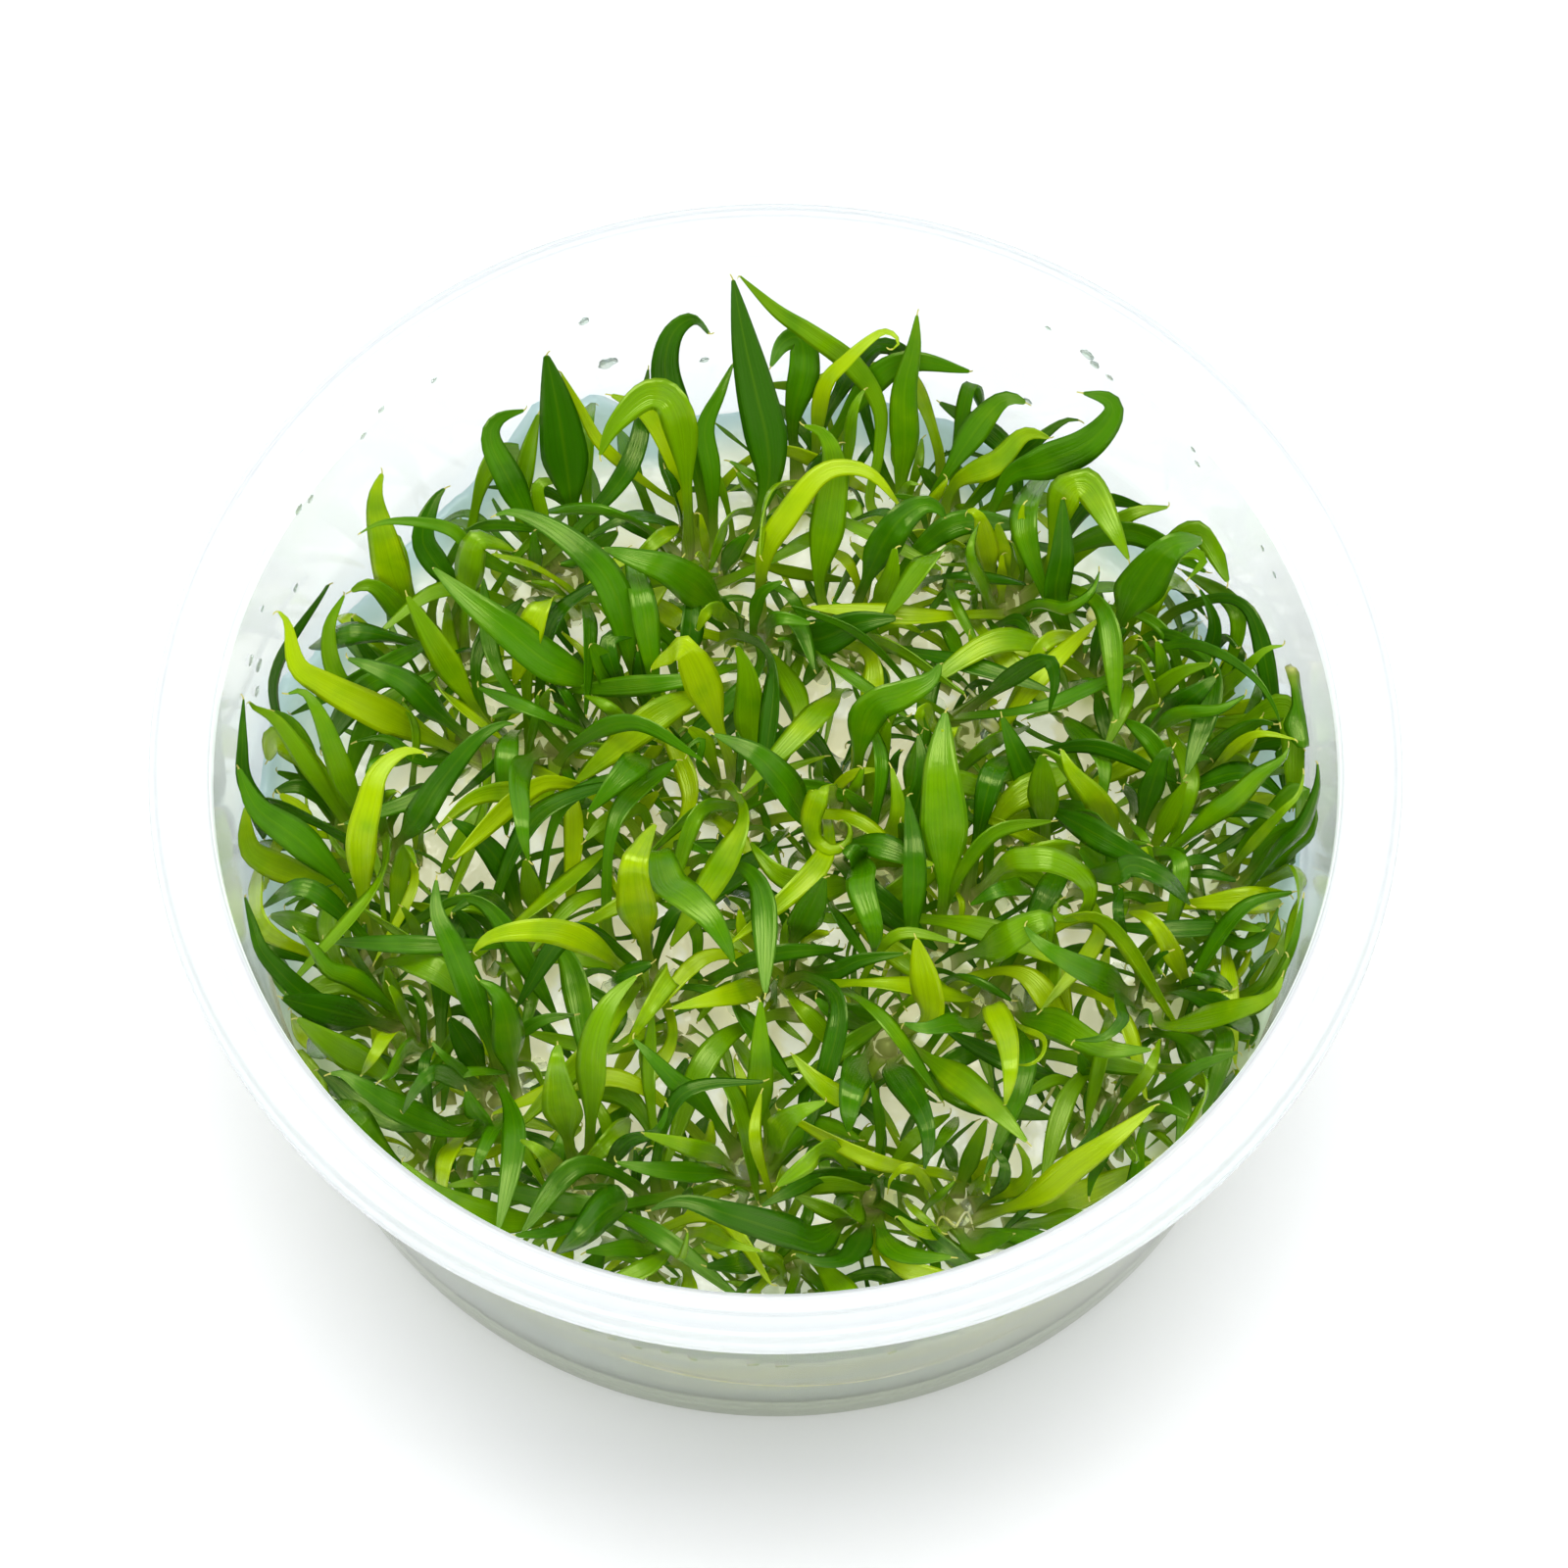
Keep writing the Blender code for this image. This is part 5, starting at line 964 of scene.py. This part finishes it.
class Look:
    """The nodes of a material or of the world, and short ways to add to them."""

    def __init__(self, owner, shader):
        owner.use_nodes = True
        self.owner = owner
        self.nodes = owner.node_tree.nodes
        self.links = owner.node_tree.links
        self.shader = self.nodes[shader]
        self.place = self.nodes.new("ShaderNodeTexCoord").outputs

    def add(self, kind, inputs=(), **settings):
        """Adds a node; inputs are pairs of a socket's name or number and a value or another socket."""
        node = self.nodes.new(f"ShaderNode{kind}")
        for name, value in settings.items():
            setattr(node, name, value)
        for name, value in inputs:
            self.plug(node.inputs[name], value)
        return node

    def plug(self, socket, value):
        if hasattr(value, "links"):
            self.links.new(value, socket)
        else:
            socket.default_value = value

    def surface(self, values):
        for name, value in values.items():
            self.plug(self.shader.inputs[name], value)

    def colours(self):
        """The three parts of the mesh's own colours."""
        data = self.add("Attribute", attribute_name="leaf")
        return self.add("SeparateColor", [("Color", data.outputs["Color"])]).outputs

    def noise(self, scale, detail=3.0, where=None):
        """Noise over the object's own coordinates, in features per metre, or over another vector."""
        vector = self.place["Object"] if where is None else where
        return self.add("TexNoise", [("Scale", scale), ("Detail", detail), ("Vector", vector)]).outputs["Fac"]

    def ramp(self, factor, *stops):
        """The colour for a factor; a stop is a place and a colour, or a place and a grey."""
        node = self.add("ValToRGB", [("Fac", factor)])
        node.color_ramp.interpolation = "EASE"
        elements = node.color_ramp.elements
        while len(elements) < len(stops):
            elements.new(0.5)
        for element, (place, shade) in zip(elements, stops):
            element.position = place
            element.color = (*(shade if isinstance(shade, tuple) else (shade,) * 3), 1.0)
        return node.outputs["Color"]

    def mix(self, factor, first, second, blend="MIX"):
        ends = [(*end, 1.0) if isinstance(end, tuple) else end for end in (first, second)]
        inputs = zip((0, 6, 7), (factor, *ends))
        return self.add("Mix", inputs, data_type="RGBA", blend_type=blend).outputs[2]

    def calc(self, operation, *values):
        return self.add("Math", enumerate(values), operation=operation).outputs[0]

    def span(self, value, start, end):
        """0 at start and 1 at end."""
        node = self.add("MapRange", [("Value", value), ("From Min", start), ("From Max", end)])
        return node.outputs["Result"]

    def bump(self, height, strength, distance):
        node = self.add("Bump", [("Height", height), ("Strength", strength), ("Distance", distance)])
        self.surface({"Normal": node.outputs["Normal"]})


def new_look(name):
    look = Look(bpy.data.materials.new(name), "Principled BSDF")
    look.owner.cycles.emission_sampling = "NONE"
    look.shader.subsurface_method = "BURLEY"
    return look


def leaf_material():
    look = new_look("leaf")
    along, place, tint = look.colours()
    blotch = look.calc("SUBTRACT", look.calc("MULTIPLY_ADD", look.noise(260.0), 0.5, tint), 0.25)
    body = look.ramp(blotch, (0.1, (0.018, 0.095, 0.0)), (0.38, (0.046, 0.17, 0.0)),
                     (0.7, (0.12, 0.265, 0.0)), (1.0, (0.29, 0.43, 0.0)))
    stem = look.ramp(along, (0.0, (0.36, 0.38, 0.11)), (0.12, (0.17, 0.27, 0.015)), (0.35, (0.06, 0.18, 0.0)),
                     (0.5, (0.045, 0.16, 0.0)))
    young = look.ramp(along, (0.0, 0.95), (0.15, 0.7), (0.35, 0.25), (0.5, 0.0))
    colour = look.mix(young, body, stem)
    # A slightly paler line along the middle
    side = look.calc("ABSOLUTE", look.calc("SUBTRACT", place, 0.5))
    colour = look.mix(look.ramp(side, (0.0, 0.12), (0.07, 0.0)), colour, (0.16, 0.3, 0.0))
    # Lengthwise streaks
    counts = ((place, 22.0), (along, 2.0), (tint, 90.0))
    stretched = [look.calc("MULTIPLY", value, count) for value, count in counts]
    streak = look.noise(1.0, 2.0, look.add("CombineXYZ", enumerate(stretched)).outputs["Vector"])
    colour = look.mix(1.0, colour, look.ramp(streak, (0.3, 0.93), (0.7, 1.07)), "MULTIPLY")
    # A dry point
    colour = look.mix(look.ramp(along, (0.985, 0.0), (1.0, 0.8)), colour, (0.55, 0.5, 0.12))
    # The glow stands for light that has come through other leaves
    look.surface({
        "Base Color": colour, "Emission Color": colour, "Emission Strength": 0.14, "Roughness": 0.22,
        "Specular IOR Level": 0.85, "Specular Tint": (0.86, 1.0, 0.33, 1.0),
    })
    # Fine veins along the blade
    look.bump(look.calc("MULTIPLY_ADD", look.noise(1500.0, 2.0), 0.35, streak), 0.35, 0.0002)
    return look.owner


def pale_material():
    look = new_look("root")
    look.surface({
        "Base Color": look.ramp(look.noise(420.0), (0.3, (0.60, 0.61, 0.12)), (0.6, (0.74, 0.72, 0.38))),
        "Roughness": 0.2, "Subsurface Weight": 0.5, "Subsurface Radius": (1.0, 0.9, 0.5),
        "Subsurface Scale": 0.0006,
    })
    return look.owner


def jelly_material():
    look = new_look("jelly")
    x, y, z = look.add("SeparateXYZ", [("Vector", look.place["Object"])]).outputs
    squares = look.calc("ADD", look.calc("MULTIPLY", x, x), look.calc("MULTIPLY", y, y))
    radius = look.calc("POWER", squares, 0.5)
    zone = look.calc("MULTIPLY", look.calc("MULTIPLY_ADD", look.noise(90.0), 0.008, radius), 20.0)
    body = look.ramp(zone, (0.0, (0.68, 0.63, 0.40)), (0.68, (0.68, 0.66, 0.46)), (0.82, (0.64, 0.68, 0.56)))
    patch = look.ramp(look.noise(170.0), (0.50, 0.0), (0.60, 0.75))
    top = look.mix(patch, body, (0.82, 0.82, 0.73))
    # Thin and blue-grey where it climbs the wall
    edge = look.mix(look.span(y, -0.022, -0.002), (0.30, 0.36, 0.13), (0.33, 0.47, 0.48))
    top = look.mix(look.ramp(zone, (0.84, 0.0), (0.91, 0.9)), top, edge)
    # Grey-green below, where it is seen through the wall, with yellowish streaks that run round
    stretch = look.add("Mapping", [("Vector", look.place["Object"]), ("Scale", (40.0, 40.0, 420.0))])
    side = look.ramp(look.noise(1.0, 2.0, stretch.outputs["Vector"]), (0.38, (0.19, 0.255, 0.155)),
                     (0.50, (0.21, 0.26, 0.095)), (0.62, (0.27, 0.30, 0.035)))
    colour = look.mix(look.span(look.calc("MULTIPLY", z, 1000.0), 18.6, 17.4), top, side)
    # Painted shade: darker and greener round the crowns, where the leaves above shade the jelly and cast
    # green light onto it
    crown_shade = look.calc("MULTIPLY", look.colours()[0], look.noise(300.0))
    colour = look.mix(look.ramp(crown_shade, (0.1, 0.0), (0.45, 0.7)), colour, (0.34, 0.38, 0.11))
    # The glow is painted light: it stands for light scattered through the jelly, which brightens it between
    # the leaves
    look.surface({
        "Base Color": colour, "Roughness": 0.06, "IOR": 1.36, "Subsurface Weight": 0.4,
        "Subsurface Radius": (1.0, 1.0, 0.7), "Subsurface Scale": 0.004,
        "Emission Color": colour, "Emission Strength": 0.55,
    })
    look.bump(look.noise(350.0, 2.0), 0.5, 0.0007)
    return look.owner


def clear_jelly_material():
    look = new_look("clear_jelly")
    look.surface({
        "Base Color": look.ramp(look.noise(500.0), (0.35, (0.82, 0.90, 0.86)), (0.65, (0.93, 0.96, 0.90))),
        "Roughness": 0.03, "IOR": 1.36, "Transmission Weight": 0.8,
    })
    return look.owner


def cup_material(name, milk, roughness, colour, glow):
    """Clear plastic; milk is how much of it is whitish, and glow is painted light that makes it brighter."""
    look = new_look(name)
    look.surface({
        "Base Color": (*colour, 1.0), "Emission Color": (*colour, 1.0), "Emission Strength": glow,
        "Transmission Weight": 1.0 - milk, "IOR": 1.49,
        "Roughness": look.ramp(look.noise(60.0, 2.0), (0.3, roughness * 0.8), (0.7, roughness * 1.25)),
    })
    return look.owner


# Cup

def rounded(points, steps=5):
    """The profile with each corner that has a third value rounded by that much."""
    out = []
    for i, point in enumerate(points):
        radius = point[2] if len(point) > 2 else 0.0
        here = Vector(point[:2])
        if not radius:
            out.append(here)
            continue
        before = here + (Vector(points[i - 1][:2]) - here).normalized() * radius
        after = here + (Vector(points[i + 1][:2]) - here).normalized() * radius
        for step in range(steps + 1):
            t = step / steps
            out.append((1 - t) ** 2 * before + 2 * t * (1 - t) * here + t * t * after)
    return out


def spaced(points, longest):
    """The profile with long runs split."""
    out = [points[0]]
    for a, b in zip(points, points[1:]):
        parts = max(1, math.ceil((b - a).length / longest))
        out += [a.lerp(b, k / parts) for k in range(1, parts + 1)]
    return out


def cup_profile():
    """The cup's outline from the axis up the inside, over the rim and down the outside to the axis."""
    top = CUP_HEIGHT
    rim = RIM_RADIUS
    base = BASE_RADIUS
    skirt = top - SKIRT_DROP
    inside = [(0.0, FLOOR_Z), (base - 3.4, FLOOR_Z, 1.0), (base - 1.2, FLOOR_Z + 0.9, 0.9),
              (wall_radius(4) - WALL, FLOOR_Z + 2.9, 0.9), (wall_radius(EDGE_Z) - WALL, EDGE_Z),
              (wall_radius(41.9) - WALL, top - 1.6, 0.25)]
    over = [(rim - 4.6, top - 1.0, 0.2), (rim - 3.0, top - 0.95, 0.25), (rim - 2.75, top - 0.6, 0.2),
            (rim - 1.9, top - 0.45, 0.3), (rim - 1.25, top, 0.3), (rim - 0.75, top - 0.1, 0.2),
            (rim - 0.45, top - 0.55, 0.15), (rim, top - 0.7, 0.15), (rim, skirt, 0.12),
            (rim - 0.5, skirt, 0.12), (rim - 0.9, top - 1.2, 0.2), (rim - 3.0, top - 1.6, 0.3),
            (wall_radius(41.7), top - 1.8, 0.2), (wall_radius(EDGE_Z), EDGE_Z), (wall_radius(FOOT_Z), FOOT_Z)]
    outside = [(wall_radius(4), 4.0, 1.0), (wall_radius(1), 1.0, 0.4), (base - 0.3, 0.35, 0.3),
               (base - 1.4, 0.0, 0.3), (base - 6.4, 0.0, 0.3), (base - 7.3, PANEL_Z, 0.3), (0.0, PANEL_Z)]
    return spaced(rounded(inside + over + outside), LONGEST_RUN)


def cup_look(centre, normal):
    """The name of the material of a face of the cup."""
    radius = math.hypot(centre.x, centre.y)
    outer = radius > WALL_TOP_RADIUS - 1.0
    if outer and radius < WALL_TOP_RADIUS and EDGE_Z < centre.z < EDGE_TOP_Z:
        return "cup_edge"
    if outer and centre.z > EDGE_Z:
        return "cup_rim"
    if centre.z > UPPER_Z:
        return "cup_upper"
    outward = normal.dot(centre) > 0.0 and normal.z < 0.5
    return "cup_foot" if centre.z < FOOT_Z and radius > FOOT_RADIUS and outward else "cup_wall"


def add_cup():
    first, *body, last = cup_profile()
    angles = [math.tau * k / FINE_CUP_SEGMENTS for k in range(FINE_CUP_SEGMENTS)]
    rings = [[at(radius, angle, z) for angle in angles] for radius, z in body]
    vertices, faces = turned((0.0, 0.0, first.y), rings, (0.0, 0.0, last.y))
    looks = [cup_material(name, *values) for name, values in CUP_LOOKS.items()]
    cup = mesh_object("clear_cup", vertices, faces, looks)
    names = list(CUP_LOOKS)
    for polygon in cup.data.polygons:
        polygon.material_index = names.index(cup_look(polygon.center / MM, polygon.normal))
    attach(cup, "root")
    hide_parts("cup")


# Jelly

def wall_edge(angle):
    """Height that the jelly's edge reaches at an angle round the wall, in radians."""
    degrees = math.degrees(angle)
    for (before, low), (after, high) in zip(WALL_EDGE, WALL_EDGE[1:]):
        if before <= degrees <= after:
            share = (degrees - before) / (after - before)
            rough = noise.noise(Vector(at(14, angle, 5.3))) + 0.6 * noise.noise(Vector(at(40, angle, 2.1)))
            return max(low + (high - low) * share + 0.8 * rough, LEAST_EDGE_Z)
    return JELLY_Z


def crown_nearness(x, y, crowns):
    """1 at a crown's middle and 0 well away from all crowns."""
    total = 0.0
    for crown in crowns:
        near = (crown.x - x) ** 2 + (crown.y - y) ** 2
        if near < 60:
            total += math.exp(-near / 9.0)
    return min(total, 1.0)


def fine_top(x, y, crowns):
    """Height of the fine jelly's top, with lumps, a mound at each crown and the edge that climbs the wall."""
    def lumps(scale, layer):
        return noise.noise(Vector((x * scale, y * scale, layer)))

    z = jelly_top(x, y)
    z += 0.5 * lumps(0.28, 3.1) + 0.22 * lumps(0.9, 7.7)
    z += crown_nearness(x, y, crowns) * (0.5 + 1.3 * lumps(0.75, 11.0))
    edge = smooth(39.0, 42.7, math.hypot(x, y)) ** 2
    return z + edge * max(wall_edge(math.atan2(y, x)) - z, 0.0)


def add_clear_lumps(shape, crowns):
    """Glassy lumps of jelly round each crown, a few larger blobs and the drops on the wall."""
    for crown in crowns:
        for _ in range(random.randint(6, 10)):
            angle = random.uniform(0.0, math.tau)
            away = random.uniform(0.8, 4.6)
            size = random.uniform(0.35, 1.15)
            spot = inside_cup(crown + Vector(at(1.0, angle, 0.0)) * away, size + GAP)
            spot.z = fine_top(spot.x, spot.y, crowns) + 0.15 * size
            squash = Vector((0.0, 0.0, random.uniform(0.1, 0.5)))
            add_lump(shape, spot, size, squash, random.uniform(0.0, 90.0))
    for x, y, z, size in CLEAR_BLOBS:
        add_lump(shape, in_sight(x, y, z), size, 0.3 * UP, x)
    for azimuth, z, size in WALL_DROPS:
        out = Vector(at(1.0, math.radians(azimuth), 0.0))
        reach = wall_radius(z) - WALL - 0.3 * size
        add_lump(shape, out * reach + z * UP, size, out * 0.75, azimuth)


def jelly_rings(crowns):
    """The jelly's rings from the middle of its top out to the wall, down and in below."""
    angles = [math.tau * k / JELLY_SEGMENTS for k in range(JELLY_SEGMENTS)]
    reach = wall_radius(JELLY_Z) - WALL - GAP
    rings = []
    for row in range(1, JELLY_ROWS + 1):
        radius = reach * row / JELLY_ROWS
        level = [at(radius, angle, 0.0) for angle in angles]
        rings.append([(x, y, fine_top(x, y, crowns)) for x, y, _ in level])
    edge = [(angle, corner[2] - CORNER_Z) for angle, corner in zip(angles, rings.pop())]
    for share in (1.0, 0.8, 0.55, 0.3, 0.1):
        rings.append([in_wall(angle, CORNER_Z + rise * share, GAP) for angle, rise in edge])
    for radius, z in ((wall_radius(4) - WALL - 1.4 * GAP, CORNER_Z), (BASE_RADIUS - 1.7, FLOOR_Z + 1.3),
                      (BASE_RADIUS - 3.6, FLOOR_Z + GAP)):
        rings.append([at(radius, angle, z) for angle in angles])
    return rings


def add_jelly(crowns):
    shape = Shape()
    middle = (0.0, 0.0, fine_top(0.0, 0.0, crowns))
    shape.vertices, shape.faces = turned(middle, jelly_rings(crowns), (0.0, 0.0, FLOOR_Z + GAP))
    # How deep the painted shade round the crowns is, kept in the mesh's colours
    crown_shade = [(crown_nearness(x, y, crowns) * smooth(17.0, 18.5, z), 0.0, 0.0) for x, y, z in shape.vertices]
    solid_faces = len(shape.faces)
    add_clear_lumps(shape, crowns)
    crown_shade += [(0.0, 0.0, 0.0)] * (len(shape.vertices) - len(crown_shade))
    looks = [jelly_material(), clear_jelly_material()]
    jelly = mesh_object("wet_jelly", shape.vertices, shape.faces, looks, crown_shade)
    for polygon in jelly.data.polygons[solid_faces:]:
        polygon.material_index = 1
    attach(jelly, "root")
    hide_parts("culture_jelly")


# Plantlets

def add_plantlets(crowns):
    owners = [leaf_owner(crowns, leaf) for leaf in LEAVES]
    sides = [crown_sides(crown, [n for n, owner in enumerate(owners) if owner == i])
             for i, crown in enumerate(crowns)]
    grown, settled = settle_leaves(crowns, sides)
    finish_curls(crowns, grown)
    add_fillers(crowns, grown, settled)
    finish = leaf_material()
    pale = pale_material()
    strands = placed_strands(crowns)
    for home, crown in enumerate(crowns):
        shape = Shape()
        add_crown(shape, crown, home)
        for owner, *leaf in grown:
            if owner == home:
                fine_leaf(shape, *leaf)
        green_faces = len(shape.faces)
        for owner, line, radius in strands:
            if owner == home and radius < 0.0:
                add_lump(shape, line[0], -radius, line[1], radius * 31)
            elif owner == home:
                add_strand(shape, line, radius)
        shape.values += [(0.0, 0.5, 0.5)] * (len(shape.vertices) - len(shape.values))
        name = f"plantlet_{home + 1:02d}"
        made = mesh_object(f"fresh_{name}", shape.vertices, shape.faces, [finish, pale], shape.values)
        for polygon in made.data.polygons[green_faces:]:
            polygon.material_index = 1
        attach(made, "root")
        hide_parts(name)


# Light, floor and camera

def aimed(name, data, place, target):
    """An object that looks from a place at a target."""
    made = bpy.data.objects.new(name, data)
    bpy.context.scene.collection.objects.link(made)
    made.location = place
    made.rotation_euler = (Vector(target) - made.location).to_track_quat("-Z", "Y").to_euler()
    return made


def add_area(name, place, size, power):
    lamp = bpy.data.lights.new(name, "AREA")
    lamp.shape = "RECTANGLE"
    lamp.size, lamp.size_y = size
    lamp.energy = power
    return aimed(name, lamp, place, LIT_SPOT)


def add_floor():
    look = new_look("floor")
    look.surface({
        "Base Color": look.ramp(look.noise(30.0), (0.0, (0.93, 0.935, 0.94)), (1.0, (0.95, 0.955, 0.96))),
        "Roughness": 0.9, "Specular IOR Level": 0.1,
    })
    floor = mesh_object("floor", FLOOR_CORNERS, [(0, 1, 2, 3)], [look.owner])


def add_light():
    scene = bpy.context.scene
    scene.world = bpy.data.worlds.new("studio")
    look = Look(scene.world, "Background")
    sides = [(0, look.place["Generated"]), (1, (0.0, -0.42, 0.91))]
    facing = look.add("VectorMath", sides, operation="DOT_PRODUCT").outputs["Value"]
    dim = look.ramp(facing, (0.45, (0.55, 0.58, 0.60)), (0.85, (0.03, 0.031, 0.032)))
    look.surface({"Color": dim, "Strength": 1.03})
    add_area("softbox", (0.0, 0.15, 0.8), (0.84, 0.56), 7.4)
    fill = add_area("front_fill", (0.0, -0.8, 0.6), (0.9, 0.5), 6.9)
    fill.visible_glossy = False
    scene.view_settings.view_transform = "Standard"
    scene.view_settings.look = "None"
    scene.view_settings.exposure = 0.0
    scene.view_settings.gamma = 1.0


def add_camera():
    camera = bpy.data.cameras.new("camera")
    camera.lens = LENS
    camera.sensor_width = SENSOR
    camera.clip_start = 0.01
    camera.clip_end = 10.0
    bpy.context.scene.camera = aimed("camera", camera, EYE * MM, AIM * MM)


def main():
    random.seed(SEED)
    add_camera()
    places = [in_sight(x, y, JELLY_Z) for x, y in CROWNS]
    crowns = [Vector((place.x, place.y, jelly_top(place.x, place.y))) for place in places]
    add_plantlets(crowns)
    add_jelly(crowns)
    add_cup()
    add_floor()
    add_light()


main()
